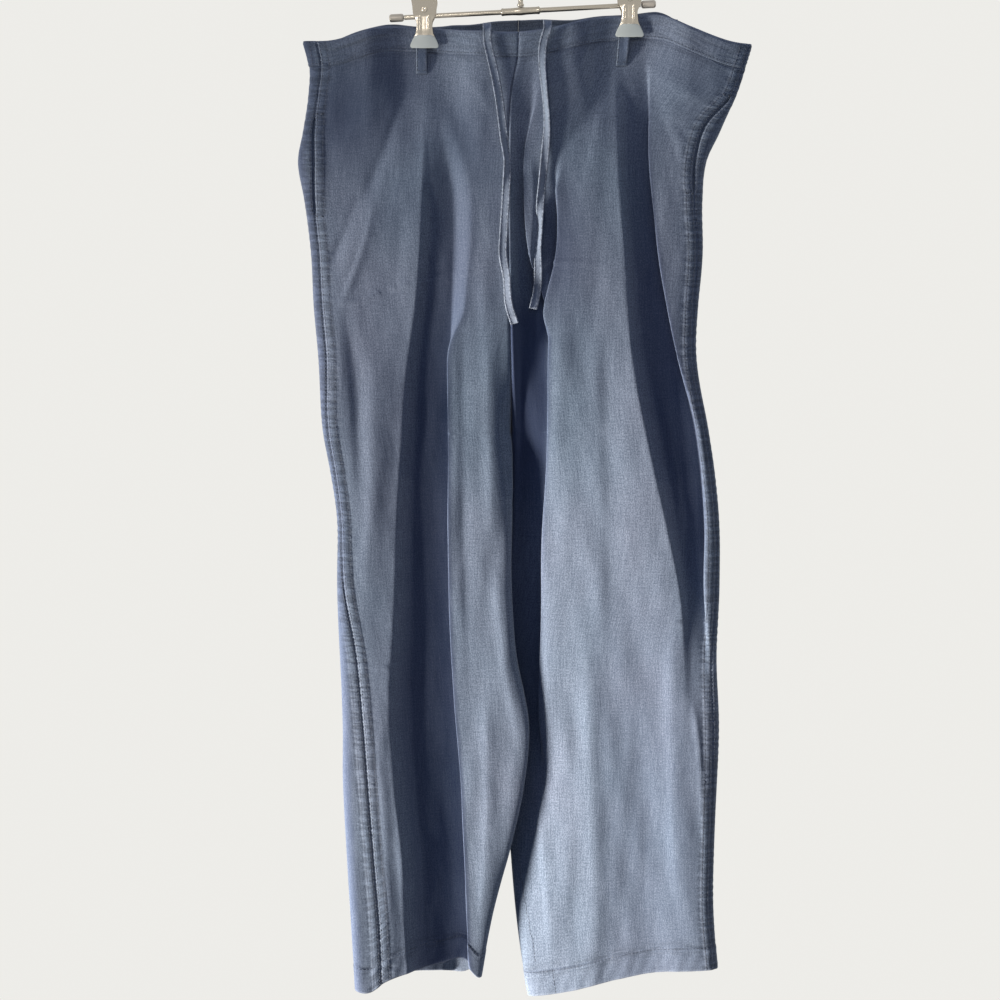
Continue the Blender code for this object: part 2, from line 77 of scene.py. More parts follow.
# The cloth's own form. Its side edges are squarer than the solids', and each leg's outer
# edge comes forwards and its inner edge goes back, which the solids' legs don't do.
OUTER_ROUNDNESS = 6.5
INNER_ROUNDNESS = (6.0, 9.0)
INNER_SQUARER = (435.0, 620.0)
END_ROUNDNESS = 2.2
LEG_TURN = 9.0
LEG_TURN_FADE = (240.0, 450.0)
LEG_APART = 0.02
EDGE_CLEAR = (14.0, 10.0)
FINE_POINTS = 480
BEND_WEIGHT = 7.0
# At the crotch each leg's edge reaches a little past the other's, so that no gap shows.
OVERLAP = 1.2
OVERLAP_DROPS = (428.0, 440.0, 480.0, 510.0)

# Painted shade, drawn in because the lamps alone leave the cloth too pale: in the folds,
# on the right leg beside the left one, and along the left leg's outer edge.
FOLD_SHADE_FULL = 13.0
LAP_REACH = (34.0, 44.0)
LAP_FRINGE = (30.0, 68.0)
FRINGE_SHARE = 0.3
LAP_DROPS = (255.0, 320.0, 640.0, 860.0)
LAP_SHARE = (1.4, 0.7)
LAP_PALER = (450.0, 560.0)
OUTER_EDGE_SHADE = 1.0
OUTER_EDGE_SHADE_REACH = (5.0, 16.0)

OUTLINE_COLUMNS = (
    "drop", "left_outer", "left_inner", "right_inner", "right_outer",
    "front", "back", "tilt", "left_seam", "right_seam",
)
OUTLINE = (
    (20, -222, -2, -2, 236, 15, 17, 0, 15, 4),
    (45, -216, -3, -3, 229, 15, 17, 0, 13, 4),
    (75, -217, -9, -9, 220, 17, 18, 0, 11, 5),
    (119, -223, -12, -12, 204, 20, 20, 0, 12, 18),
    (150, -228, -13, -13, 191, 22, 22, 0, 17, 13),
    (190, -222, -13, -13, 187, 24, 24, 0, 11, 10),
    (243, -216, -12, -12, 188, 26, 26, 0, 10, 8),
    (300, -213, -11, -11, 183, 28, 28, 0, 10, 6),
    (345, -209, -10, -10, 181, 29, 29, 0, 10, 5),
    (430, -204, -9, -9, 195, 30, 30, 0, 7, 5),
    (468, -197, -9, -9, 201, 29, 29, 7, 6, 5),
    (510, -191, -8, -11, 206, 28, 28, 11, 5, 5),
    (587, -191, -9, -15, 208, 27, 27, 14, 8, 5),
    (662, -189, -4, -17, 206, 27, 27, 16, 18, 6),
    (743, -187, 10, -17, 210, 26, 26, 19, 23, 8),
    (803, -187, 5, -15, 208, 26, 26, 17, 27, 6),
    (874, -184, -10, -10, 206, 25, 25, 12, 29, 5),
    (935, -180, -27, -3, 206, 25, 25, 7, 30, 5),
    (1005, -176, -41, 9, 211, 25, 25, 4, 29, 4),
)
WAIST_LINE = (
    (-222, 31), (-195, 31), (-138, 16), (-89, 17), (-41, 21), (0, 22), (30, 18),
    (78, 7), (111, 4), (142, 4), (173, 17), (222, 33), (236, 34),
)
BACK_RISE = (
    (-205, 0), (-175, 6), (-140, 4), (-98, 1), (-60, 7), (-20, 15), (20, 14), (60, 5),
    (85, 2), (111, 1), (150, 4), (200, 0),
)
WAIST_FADE = (45.0, 170.0)
HEM_COLUMNS = ("x", "front", "back")
LEFT_HEM = (
    (-178, 1025, 1025), (-160, 1027, 1024), (-143, 1016, 1021), (-122, 1009, 1019),
    (-86, 1003, 1021), (-58, 1001, 1024), (-44, 1016, 1016), (-34, 1012, 1012),
)
RIGHT_HEM = (
    (9, 1040, 1040), (50, 1031, 1033), (87, 1020, 1024), (141, 1007, 1011),
    (211, 1001, 1001),
)
HEM_FADE = (820.0, 1005.0)

# A fold runs from a soft start to a deep end. There it steps back out, and where the
# step is short the cloth beyond hangs over it, which gives the fold its crisp edge. The
# solids' folds differ from these in depth.
FOLD_COLUMNS = ("drop", "start", "end", "depth", "step")
FOLD_FALL = 0.42
FOLD_FALL_WIDE = 0.34
OVERHANG_PAST = 1.6
OVERHANG_STEPS = (9.0, 15.0)
OVERHANG_REACH = 36.0
# How far past a fold's end its painted shade reaches, as shares of the step.
FOLD_SHADE_STEP = (0.7, 1.9)
FOLDS = {
    ("left", "front"): (
        ((110, -100, -84, 0, 24), (170, -101, -72, 7, 22), (289, -108, -71, 11, 16),
         (357, -117, -73, 13, 9), (439, -124, -73, 15, 7), (539, -130, -73, 17, 6),
         (620, -133, -72, 19, 6), (703, -138, -68, 21, 6), (798, -134, -61, 22, 6),
         (883, -126, -57, 22, 6), (968, -123, -54, 21, 6), (1005, -121, -53, 20, 6)),
        ((30, -204, -113, 3, 30), (60, -208, -118, 3, 60), (100, -212, -125, 4, 70),
         (143, -214, -143, 4, 70), (190, -214, -172, 3, 60), (236, -213, -192, 0, 50)),
        ((220, -207, -128, 0, 46), (300, -204, -126, 2, 46), (430, -199, -128, 3, 52),
         (620, -186, -134, 3, 58), (800, -182, -136, 3, 66), (1005, -172, -122, 3, 60)),
    ),
    ("right", "front"): (
        ((40, 90, 122, 2, 12), (69, 94, 127, 8, 7), (171, 100, 134, 13, 6),
         (261, 107, 145, 16, 6), (353, 114, 163, 18, 6), (428, 128, 181, 18, 7),
         (523, 150, 191, 15, 9), (600, 166, 192, 9, 8), (660, 170, 194, 3, 10),
         (730, 174, 196, 0, 12)),
        ((30, -2, 12, 0, 12), (80, -12, 10, 3, 12), (171, -12, 5, 7, 9),
         (250, -12, 12, 9, 9), (300, -12, 28, 14, 8), (380, -11, 30, 15, 7),
         (430, -10, 30, 14, 6), (540, -11, 26, 10, 6), (640, -12, 24, 8, 6),
         (700, -14, 22, 7, 6), (760, -14, 22, 4, 9), (820, -10, 20, 0, 12)),
        ((140, 20, 34, 0, 10), (200, 22, 40, 7, 7), (260, 20, 39, 8, 7),
         (310, 18, 34, 5, 9), (340, 16, 32, 0, 10)),
        ((560, 60, 110, 0, 50), (720, 70, 122, 4, 50), (880, 76, 132, 5, 50),
         (1005, 80, 136, 4, 50)),
    ),
    ("left", "back"): (
        ((90, -40, -62, 0, 16), (180, -44, -74, 7, 12), (330, -52, -90, 11, 8),
         (520, -60, -104, 13, 7), (760, -66, -116, 13, 7), (1005, -70, -118, 11, 7)),
        ((40, -150, -126, 3, 20), (100, -162, -124, 6, 20), (230, -180, -136, 5, 20),
         (330, -188, -150, 0, 20)),
    ),
    ("right", "back"): (
        ((60, 100, 128, 3, 12), (170, 96, 134, 8, 10), (340, 92, 140, 11, 8),
         (560, 96, 152, 13, 7), (780, 92, 150, 12, 7), (1005, 88, 142, 10, 8)),
        ((40, 26, 4, 0, 16), (120, 34, 4, 5, 16), (280, 44, 8, 8, 16),
         (400, 56, 18, 3, 16), (450, 60, 22, 0, 16)),
    ),
}
# Soft patches of painted shade, placed where the cloth comes out too pale.
SHADE_PATCH_COLUMNS = ("x", "drop", "wide", "high", "share")
SHADE_PATCHES = {
    ("left", "front"): (
        (-182, 100, 58, 66, 1.0), (-140, 72, 50, 40, 0.8), (-60, 140, 46, 62, 0.7),
        (-24, 180, 16, 60, 0.4), (-52, 290, 28, 64, 0.45), (-122, 190, 34, 50, 0.35),
        (-60, 250, 15, 72, 0.75),
    ),
    ("right", "front"): (
        (46, 240, 24, 76, 0.95), (20, 90, 50, 44, 0.35), (150, 70, 34, 30, 0.3),
    ),
}
CLIP_PLACES = {"left": -98.0, "right": 111.0}
PINCH_FLAT = 18.0
PINCH_REACH = 62.0
PINCH_FADE = (45.0, 150.0)
PINCH_STAND_OFF = GAP / 2 + BAND_WALL - BAND_PROUD
POCKETS = {"left": (99.0, 209.0), "right": (76.0, 185.0)}
SLIT_HALF = 1.4
SLIT_FADE = 8.0
SEAM_REACH = 45.0
SEAM_CLEAR = 0.02
CENTRE_SEAM_REACH = 8.0
FACING_WALL = 1.0
FACING_PAST = 6.0
FACING_STEP = 3.0
FACING_CHART = 4.0
FACING_COLUMNS = ((9, 5, 0), (0, 5, 9))

# Creases laid over the folds: each runs in a bow between two places, and is a ridge
# where its height is above nothing and a trough where it is below.
CREASE_COLUMNS = ("from_x", "from_drop", "to_x", "to_drop", "bow", "wide", "height")
CREASES = {
    ("left", "front"): (
        (-104, 52, -196, 292, 8, 12, 1.2), (-112, 60, -168, 205, 4, 8, -1.8),
        (-120, 56, -200, 150, 6, 14, 0.9), (-96, 66, -88, 200, -3, 9, 1.4),
        (-84, 60, -46, 190, 5, 12, -1.7), (-70, 52, -24, 110, 3, 9, 1.3),
        (-150, 190, -186, 300, 5, 5, 1.5), (-164, 176, -200, 262, 4, 6, -1.5),
        (-202, 298, -160, 296, 1, 1.6, 0.9), (-162, 296, -138, 283, 1, 1.6, 1.0),
        (-140, 283, -76, 273, 2, 1.6, 1.1), (-78, 273, -10, 240, -2, 1.6, 0.9),
        (-40, 240, -30, 560, 4, 14, 1.6), (-58, 300, -52, 700, -4, 8, -0.9),
        (-152, 330, -164, 620, 6, 15, 1.5), (-178, 300, -168, 520, 5, 9, -1.2),
        (-24, 560, 2, 760, -5, 12, 1.7), (-36, 700, -44, 985, 6, 11, 1.5),
        (-152, 678, -136, 675, 1, 2.0, 0.8), (-150, 760, -144, 1000, 4, 8, 1.3),
        (-178, 640, -170, 880, 3, 6, -1.1), (-166, 690, -158, 930, -2, 4, 1.0),
        (-104, 420, -100, 900, 4, 16, 1.2),
    ),
    ("right", "front"): (
        (104, 50, 60, 230, -6, 13, 1.5), (96, 60, 30, 150, 5, 10, -1.3),
        (124, 48, 196, 96, -5, 10, 1.8), (120, 60, 168, 170, 4, 10, -1.5),
        (142, 90, 176, 190, 3, 8, 1.1), (112, 62, 120, 150, 2, 7, 1.0),
        (3, 245, 26, 254, 1, 1.6, 0.9), (24, 254, 84, 258, 1, 1.6, 1.1),
        (-4, 569, 17, 540, 2, 2.2, 1.0), (44, 290, 50, 640, -6, 18, 1.6),
        (84, 300, 92, 720, 5, 14, -1.3), (20, 470, 26, 800, 6, 12, 1.5),
        (178, 700, 192, 874, 5, 4, 1.2), (160, 620, 172, 960, -5, 13, 1.5),
        (54, 640, 60, 1000, 4, 16, -1.3), (16, 800, 34, 1000, 3, 9, 1.3),
        (150, 330, 176, 560, 3, 9, -1.0), (186, 260, 192, 470, 2, 5, 1.0),
        (34, 96, 40, 210, -4, 9, 1.1), (150, 110, 170, 132, 2, 5, -0.9),
    ),
    ("left", "back"): (
        (-96, 52, -150, 230, 6, 10, -1.8), (-104, 52, -196, 200, 6, 10, 2.0),
        (-90, 56, -40, 210, -5, 12, 1.8), (-20, 60, -34, 260, 4, 10, -1.4),
        (-206, 280, -120, 270, 2, 1.6, 1.0), (-122, 270, -12, 244, 2, 1.6, 1.0),
        (-40, 300, -34, 640, -5, 14, 1.6), (-150, 340, -160, 700, 5, 16, 1.5),
        (-178, 420, -172, 760, 3, 9, -1.3), (-26, 640, -10, 860, 4, 12, 1.4),
        (-150, 760, -140, 1000, 4, 10, 1.3), (-90, 700, -94, 1000, -4, 14, -1.2),
    ),
    ("right", "back"): (
        (108, 52, 60, 210, -6, 12, 1.8), (114, 52, 190, 170, -5, 10, 2.0),
        (112, 56, 150, 240, 4, 10, -1.6), (16, 60, 34, 250, 4, 10, -1.3),
        (-8, 242, 60, 256, 1, 1.6, 1.0), (60, 256, 182, 268, 2, 1.6, 1.0),
        (50, 300, 44, 640, 5, 15, 1.6), (172, 320, 184, 700, -4, 12, 1.4),
        (70, 560, 60, 1000, 4, 14, -1.3), (176, 700, 186, 1000, 4, 9, -1.2),
        (20, 620, 26, 940, 4, 12, 1.5), (120, 400, 116, 700, -3, 9, 0.9),
    ),
}
RUMPLE_WAVES = 22
RUMPLE_ACROSS = (16.0, 64.0)
RUMPLE_DOWN = (70.0, 320.0)
RUMPLE_HEIGHT = 0.24
WAIST_CALM = 0.4
CALM_FADE = (200.0, 300.0)
PINCH_CALM = 0.75
RELIEF_EDGES = (18.0, 22.0)
RELIEF_LOWEST = -4.0

# The lapped side seams: a raised strip that two rows of stitches hold down.
STRIP_WIDE = 9.6
STRIP_HIGH = 0.5
EDGE_ROLL = (2.2, 0.9)
STITCH_ROWS = (1.9, 8.2)
STITCH_LOW = 0.32
STITCH_WIDE = 0.7
HEM_LOW = 0.4
HEM_STITCH_WIDE = 1.2
SEAM_COLUMNS = (0.0, 0.6, 1.3, 1.9, 2.6, 4.0, 5.6, 7.2, 8.2, 9.0, 9.8, 11.0, 12.6)
PUCKER_REACH = (9.0, 22.0)
PUCKER_LONG = 8.5
PUCKER_HIGH = 0.28
# Where the material draws fine puckers: reach by the hem, the waist and the side seam.
PUCKERED_SHARES = (0.8, 0.5)
PUCKERED_HEM = 7.0
PUCKERED_WAIST = (2.0, 12.0)
PUCKERED_SIDE = (8.0, 15.0)
ROPING_LONG = 15.0
ROPING_HIGH = 0.13
HEM_STITCH = 979.5
# Painted shade along the stitch grooves and the seam lines.
GROOVE_SHARE = 0.45
SEAM_SHARE = 0.65
BAND_ROLL = 0.4
# Painted shade: the most that it darkens the cloth, and the dark blue it darkens towards.
PAINTED_SHADE_MIX = 0.62
PAINTED_SHADE_COLOUR = "#323c58"

PANEL_COLUMNS = {"front": 98, "back": 84}
ROW_STEP = {"front": 2.9, "back": 4.0}
BAND_COLUMNS = 150
BAND_ROW_STEP = 1.25
SEAM_ALLOWANCE = 2.4

# Seam lines on the right front: the inner leg's and the hem's own, as x and drop.
INSEAM_LINE = ((-6, 850), (-2, 880), (5, 930), (15, 985), (17, 1003))
HEM_SEAM_LINE = ((34, 1006), (37, 1022), (39, 1036))

BELT_LOOPS = {
    "belt_loop_front_left": ("left", "front", -101, 20, -101, 63),
    "belt_loop_front_right": ("right", "front", 107, 8, 103, 55),
    "belt_loop_back_left": ("left", "back", -152, 20, -152, 66),
    "belt_loop_back_centre": ("left", "back", -11, 14, -11, 60),
    "belt_loop_back_right": ("right", "back", 156, 6, 157, 52),
}
LOOP_WIDTH = 11.0
# Painted shade over the belt loops, away from their edges.
LOOP_SHADE = 0.75
LOOP_STAND_OFF = ((0.0, 1.0), (0.2, 1.0), (0.4, 1.1), (0.6, 2.6), (0.8, 2.2), (1.0, 0.35))
LOOP_TWIST = {"belt_loop_front_left": 0.4, "belt_loop_front_right": 2.4}

# The drawstring's tapes follow the route of the solids.
STRING_TOP = 9.0
STRINGS = {
    "left": (
        (-34, 22, 6.0), (-34, 30, 4.0), (-31, 45, 3.2), (-27, 62, 3.4), (-21, 96, 3.2),
        (-17, 128, 3.0), (-14, 158, 3.0), (-15, 189, 3.0), (-17, 221, 3.0),
        (-18, 247, 3.0), (-14, 271, 3.4), (-12, 297, 4.0), (-6, 317, 6.5),
    ),
    "right": (
        (27, 20, 6.0), (24, 29, 4.0), (22, 42, 3.2), (22, 54, 3.4), (25, 85, 3.2),
        (27, 113, 3.0), (25, 143, 3.0), (22, 172, 3.0), (20, 195, 3.2),
        (20, 221, 3.4), (18, 243, 3.6), (18, 261, 4.0), (17, 284, 4.5), (13, 302, 5.0),
    ),
}
TAPE_POINTS = 190
TAPE_COLUMNS = 9
TAPE_CUP = 0.9
# How far each tape is turned about its own line, in degrees, along its length.
TAPE_TURNS = {
    "left": ((0, 0), (0.17, 0), (0.3, -8), (0.44, -12), (0.5, -40), (0.56, -8),
             (0.82, 6), (0.88, 26), (0.95, 10), (1, 4)),
    "right": ((0, 0), (0.17, 0), (0.26, 34), (0.42, 38), (0.5, 4), (0.66, -6),
              (0.73, 46), (0.79, 40), (0.86, 10), (1, -6)),
}
TAPE_TIP = 9.0

BAR_THICK = 5.0
BAR_ENDS = (-134.0, 138.0)
BAR_RISE = 14.5
CAP_LONG = 15.0
CAP_THICK = 8.0
SLEEVE_LONG = 40.0
SLEEVE_THICK = 8.0
SWIVEL_THICK = 7.0
SWIVEL_HIGH = 11.0
HOOK_WIRE = 3.6
HOOK_RADIUS = 22.0
HOOK_STEM_TURN = 48.0
BARREL_THICK = 10.0
BARREL_LONG = 15.0
JAW_COLUMNS = ("height", "width", "front", "back")
JAW = (
    (-32.5, 30.0, 4.95, 3.05), (-30.0, 29.0, 4.95, 3.05), (-20.0, 20.0, 4.95, 3.05),
    (-18.0, 18.0, 5.1, 3.1), (-15.0, 17.0, 5.4, 3.6), (-5.0, 17.0, 5.3, 5.0),
    (0.0, 22.0, 5.3, 5.3), (8.0, 24.0, 9.0, 9.0), (20.0, 23.0, 14.0, 14.0),
    (23.0, 18.0, 14.5, 14.5),
)
PAD_TOP = -19.5
PAD_PROUD = 0.7
CORNER = 3.2
RIB_PLACE = 4.6
RIB_WIDE = 1.1
RIB_HIGH = 0.7
RIVET_HEIGHT = 6.0
RIVET_SUNK = 1.2
# The rivet's profile, as radius and distance from its foot.
RIVET = ((0.0, 0.0), (3.4, 0.0), (3.4, 0.5), (2.9, 1.0), (1.8, 1.0), (1.5, 0.6), (0.0, 0.5))

# The photograph's view: the camera stands in front of the waist and looks down a little.
CAMERA_PLACE = (-0.021, -1.9, -0.3767)
CAMERA_TARGET = (-0.021, 0.0, -0.5867)
CAMERA_LENS = 65.5
# Lamps in metres and degrees. The key lies low at the left, so its light grazes the
# folds, and the fill keeps the hanger's metal from going dark.
LAMP_COLUMNS = ("place", "target", "spread", "radius", "colour")
LAMPS = {
    "key": ((-3.3, -1.05, -1.8), (0.1, 0.0, -1.3), 44.0, 0.35, "#fffaf2"),
    "fill": ((-0.5, -2.3, 0.3), (0.0, 0.0, -0.1), 13.0, 0.2, "#fff8ee"),
}
TENT_RADIUS = 4.2
TENT_FLOOR = -2.0
TENT_TOP = 2.4
TENT_BEHIND = 0.94
TENT_FRONT = 0.1
TENT_ABOVE = 0.45
TENT_SHADE = "#9db6f0"


def linear(code):
    """An sRGB hex colour as linear red, green and blue."""
    parts = [int(code[place : place + 2], 16) / 255 for place in (1, 3, 5)]
    return tuple(
        part / 12.92 if part <= 0.04045 else ((part + 0.055) / 1.055) ** 2.4
        for part in parts
    )


class ClothSettings(bpy.types.PropertyGroup):
    """Sizes and colours of the linen and its threads."""

    thickness: FloatProperty(
        name="Cloth thickness", description="Thickness of one layer of linen",
        default=0.0012, min=0.0005, max=0.003, unit="LENGTH",
    )
    base: FloatVectorProperty(
        name="Linen", description="Colour of the dyed yarn",
        default=linear("#76808f"), size=3, min=0.0, max=1.0, subtype="COLOR",
    )
    deep: FloatVectorProperty(
        name="Deep yarn", description="Colour of the yarn that sits low in the weave",
        default=linear("#4a5364"), size=3, min=0.0, max=1.0, subtype="COLOR",
    )
    worn: FloatVectorProperty(
        name="Worn yarn", description="Colour of slubs and of rubbed edges",
        default=linear("#a3abba"), size=3, min=0.0, max=1.0, subtype="COLOR",
    )
    thread: FloatVectorProperty(
        name="Thread", description="Colour of the sewing thread",
        default=linear("#3e4758"), size=3, min=0.0, max=1.0, subtype="COLOR",
    )
    yarn_spacing: FloatProperty(
        name="Yarn spacing", description="Distance between yarns, drawn coarse enough to show",
        default=0.0014, min=0.0004, max=0.004, unit="LENGTH",
    )
    stitch_long: FloatProperty(
        name="Stitch length", description="Length of one stitch",
        default=0.0032, min=0.001, max=0.008, unit="LENGTH",
    )
    thread_thick: FloatProperty(
        name="Thread thickness", description="Thickness of the sewing thread",
        default=0.0006, min=0.0002, max=0.002, unit="LENGTH",
    )
    tape_wide: FloatProperty(
        name="Tape width", description="Width of the drawstring's tape",
        default=0.008, min=0.004, max=0.02, unit="LENGTH",
    )
    tape_thick: FloatProperty(
        name="Tape thickness", description="Thickness of the drawstring's tape",
        default=0.0013, min=0.0005, max=0.003, unit="LENGTH",
    )


class HangerSettings(bpy.types.PropertyGroup):
    """Colours of the hanger."""

    steel: FloatVectorProperty(
        name="Plated steel", description="Colour of the bar, hook and clips",
        default=linear("#aea79c"), size=3, min=0.0, max=1.0, subtype="COLOR",
    )
    caps: FloatVectorProperty(
        name="End caps", description="Colour of the bar's moulded end caps",
        default=linear("#b9b2a8"), size=3, min=0.0, max=1.0, subtype="COLOR",
    )
    pads: FloatVectorProperty(
        name="Pads", description="Colour of the clips' moulded pads",
        default=linear("#c6cdc8"), size=3, min=0.0, max=1.0, subtype="COLOR",
    )


class StudioSettings(bpy.types.PropertyGroup):
    """The light tent round the trousers."""

    key: FloatProperty(
        name="Key power", description="Power of the low lamp at the left, in watts",
        default=2900.0, min=0.0, max=9000.0,
    )
    fill: FloatProperty(
        name="Fill power", description="Power of the lamp aimed at the hanger, in watts",
        default=45.0, min=0.0, max=2000.0,
    )
    tent: FloatVectorProperty(
        name="Tent", description="Colour of the tent's white cloth",
        default=linear("#f4f3ef"), size=3, min=0.0, max=1.0, subtype="COLOR",
    )


def cloth_settings():
    return bpy.context.scene.linen_cloth


def hanger_settings():
    return bpy.context.scene.linen_hanger


def studio_settings():
    return bpy.context.scene.linen_studio


# Cloth form, worked out as the solids' is, but with its own edges, turn and steps.


def ease(value, low, high):
    """0 below low, 1 above high, with a soft rise between them."""
    part = np.clip((np.asarray(value, float) - low) / (high - low), 0.0, 1.0)
    return part * part * (3.0 - 2.0 * part)


def along(rows, at):
    """Each column of a table read at a place on a smooth curve through its rows."""
    table = np.array(rows, float)
    places, values = table[:, 0], table[:, 1:]
    slopes = np.gradient(values, places, axis=0)
    at = np.clip(np.atleast_1d(np.asarray(at, float)), places[0], places[-1])
    row = np.clip(np.searchsorted(places, at, side="right") - 1, 0, len(places) - 2)
    long = (places[row + 1] - places[row])[:, None]
    part = (at[:, None] - places[row][:, None]) / long
    square, cube = part * part, part * part * part
    return (
        values[row] * (2 * cube - 3 * square + 1)
        + slopes[row] * (cube - 2 * square + part) * long
        + values[row + 1] * (3 * square - 2 * cube)
        + slopes[row + 1] * (cube - square) * long
    )


def read(columns, rows, at):
    """A table's columns at a place, by name."""
    return dict(zip(columns[1:], along(rows, at)[0]))


def edges_of(leg, drop):
    """Outer edge, inner edge, seam place and the inner edge's shift for one leg."""
    sizes = read(OUTLINE_COLUMNS, OUTLINE, drop)
    outward = -1.0 if leg == "left" else 1.0
    outer = sizes[leg + "_outer"]
    first, full, last, end = OVERLAP_DROPS
    overlap = OVERLAP * float(ease(drop, first, full) * (1.0 - ease(drop, last, end)))
    inner = sizes[leg + "_inner"] + outward * (LEG_APART - overlap)
    seam = outer - outward * sizes[leg + "_seam"]
    return outer, inner, seam, outward * max(sizes["tilt"], 0.0)


def pinch(x, drop):
    """How far the clips press the cloth flat, from 0 to 1."""
    pressed = np.zeros_like(x)
    for place in CLIP_PLACES.values():
        near = 1.0 - ease(np.abs(x - place), PINCH_FLAT, PINCH_REACH)
        pressed = np.maximum(pressed, near)
    return pressed * (1.0 - ease(drop, *PINCH_FADE))


def fold_form(leg, side, x, drop):
    """How far folds take the cloth in, hang over their edges, and get painted shade."""
    depth, over, fold_shade = np.zeros_like(x), np.zeros_like(x), np.zeros_like(x)
    for rows in FOLDS[leg, side]:
        if drop < rows[0][0] or drop > rows[-1][0]:
            continue
        fold = read(FOLD_COLUMNS, rows, drop)
        wide = fold["end"] - fold["start"]
        way = math.copysign(1.0, wide)
        beyond = (x - fold["end"]) * way
        slope = fold_slope((x - fold["start"]) / wide)
        step = ease(beyond, 0.0, fold["step"])
        deep = max(fold["depth"], 0.0)
        depth += deep * slope * (1.0 - step)
        # Shade is painted over the fold's slope and fades out past its step.
        wall = fold["step"] * np.array(FOLD_SHADE_STEP)
        fold_shade += deep * slope * (1.0 - ease(beyond, *wall))
        crisp = (1.0 - ease(fold["step"], *OVERHANG_STEPS)) * ease(deep, 1.0, 6.0)
        fading = 1.0 - ease(beyond, fold["step"], fold["step"] + OVERHANG_REACH)
        over -= way * (fold["step"] + OVERHANG_PAST) * crisp * step * fading
    return depth, over, fold_shade


def fold_slope(part):
    """A soft start, a steep fall and then a gentle slope, from 0 to 1."""
    part = np.clip(part, 0.0, 1.0)
    return (1.0 - FOLD_FALL) * part + FOLD_FALL * ease(part, 0.0, FOLD_FALL_WIDE)


def half_line(leg, side, drop):
    """One side of a leg's section, from its outer edge to its inner end."""
    outer, inner, _, shift = edges_of(leg, drop)
    stand = read(OUTLINE_COLUMNS, OUTLINE, drop)[side]
    facing = FRONT if side == "front" else BACK
    below_crotch = np.clip((drop - CREASE_START) / (CROTCH - CREASE_START), 0.0, 1.0)
    last = math.sin(math.pi / 2 * below_crotch) ** (2.0 / END_ROUNDNESS)
    across = -np.cos(np.linspace(0.0, math.pi - math.acos(last), FINE_POINTS))
    half_width = (inner - outer) / (1.0 + last)
    x = outer + half_width * (1.0 + across)
    inner_power = float(np.interp(drop, INNER_SQUARER, INNER_ROUNDNESS))
    power = np.where(across < 0.0, OUTER_ROUNDNESS, inner_power)
    y = stand * np.maximum(1.0 - np.abs(across) ** power, 0.0) ** (1.0 / power)
    by_outer, by_inner = EDGE_CLEAR
    clear = ease(np.abs(x - outer), 0.0, by_outer) * ease(np.abs(x - inner), 0.0, by_inner)
    depth, over, fold_shade = fold_form(leg, side, x, drop)
    y = y - depth * clear
    pressed = pinch(x, drop)
    y = np.where(y > PINCH_STAND_OFF, y + (PINCH_STAND_OFF - y) * pressed, y)
    middle = (outer + inner) / 2
    part = (x - middle) / (inner - middle)
    lean = np.clip(part, 0.0, 1.0) ** 2
    thin = 1.0 - THINNING * abs(shift) * lean
    turned = LEG_TURN * float(ease(drop, *LEG_TURN_FADE)) * part
    x_over = x + over * clear * (1.0 - pressed)
    y_all = facing * y * thin + shift * lean + turned
    # Painted shade in the folds, except where the clips press them flat.
    recess = np.clip(fold_shade * clear / FOLD_SHADE_FULL, 0.0, 1.0) * (1.0 - pressed)
    # Painted shade at the soft patches.
    recess = np.maximum(recess, patch_shade(leg, side, x, drop))
    # The left leg's shadow, painted onto the right front beside it.
    if (leg, side) == ("right", "front"):
        recess = np.maximum(recess, lapped(x - inner, drop))
    # Painted shade along the left leg's outer edge, where the low lamp leaves it too pale.
    if leg == "left":
        recess = np.maximum(recess, OUTER_EDGE_SHADE * (1.0 - ease(x - outer, *OUTER_EDGE_SHADE_REACH)))
    return np.stack([x_over, y_all, recess], axis=1)


def patch_shade(leg, side, x, drop):
    """How much shade is painted at the patches, from 0 to 1."""
    total = np.zeros_like(x)
    for row in SHADE_PATCHES.get((leg, side), ()):
        patch = dict(zip(SHADE_PATCH_COLUMNS, row))
        right = (x - patch["x"]) / patch["wide"]
        down = (drop - patch["drop"]) / patch["high"]
        total = np.maximum(total, patch["share"] * np.exp(-(right**2) - down**2))
    return total


def lapped(from_inner, drop):
    """The left leg's shadow painted on the right leg, where 1 is as in a deep fold."""
    first, full, last, end = LAP_DROPS
    shown = float(ease(drop, first, full) * (1.0 - ease(drop, last, end)))
    share = float(np.interp(drop, LAP_PALER, LAP_SHARE))
    full = share * (1.0 - ease(np.abs(from_inner), *LAP_REACH))
    fringe = FRINGE_SHARE * (1.0 - ease(np.abs(from_inner), *LAP_FRINGE))
    return shown * np.maximum(full, fringe)


def section(leg, drop):
    """A leg's whole section, its distances along the line, and its directions.

    The line runs from the back's inner end round the outer edge to the front's.
    """
    front = half_line(leg, "front", drop)
    back = half_line(leg, "back", drop)
    line = np.concatenate([back[::-1], front[1:]])
    steps = np.linalg.norm(np.diff(line[:, :2], axis=0), axis=1)
    distance = np.concatenate([[0.0], np.cumsum(steps)])
    direction = np.gradient(line[:, :2], distance, axis=0)
    if drop >= CROTCH:
        direction[0] = direction[-1] = (0.0, 1.0)
    direction /= np.linalg.norm(direction, axis=1)[:, None]
    return line, distance, direction


def seam_distance(leg, line, distance, drop):
    """How far along a section its side seam lies."""
    seam = edges_of(leg, drop)[2]
    start = FINE_POINTS - 1
    reach = np.abs(line[start:, 0] - line[start, 0])
    stop = int(np.argmax(reach > SEAM_REACH))
    want = abs(seam - line[start, 0])
    return float(np.interp(want, reach[:stop], distance[start : start + stop]))


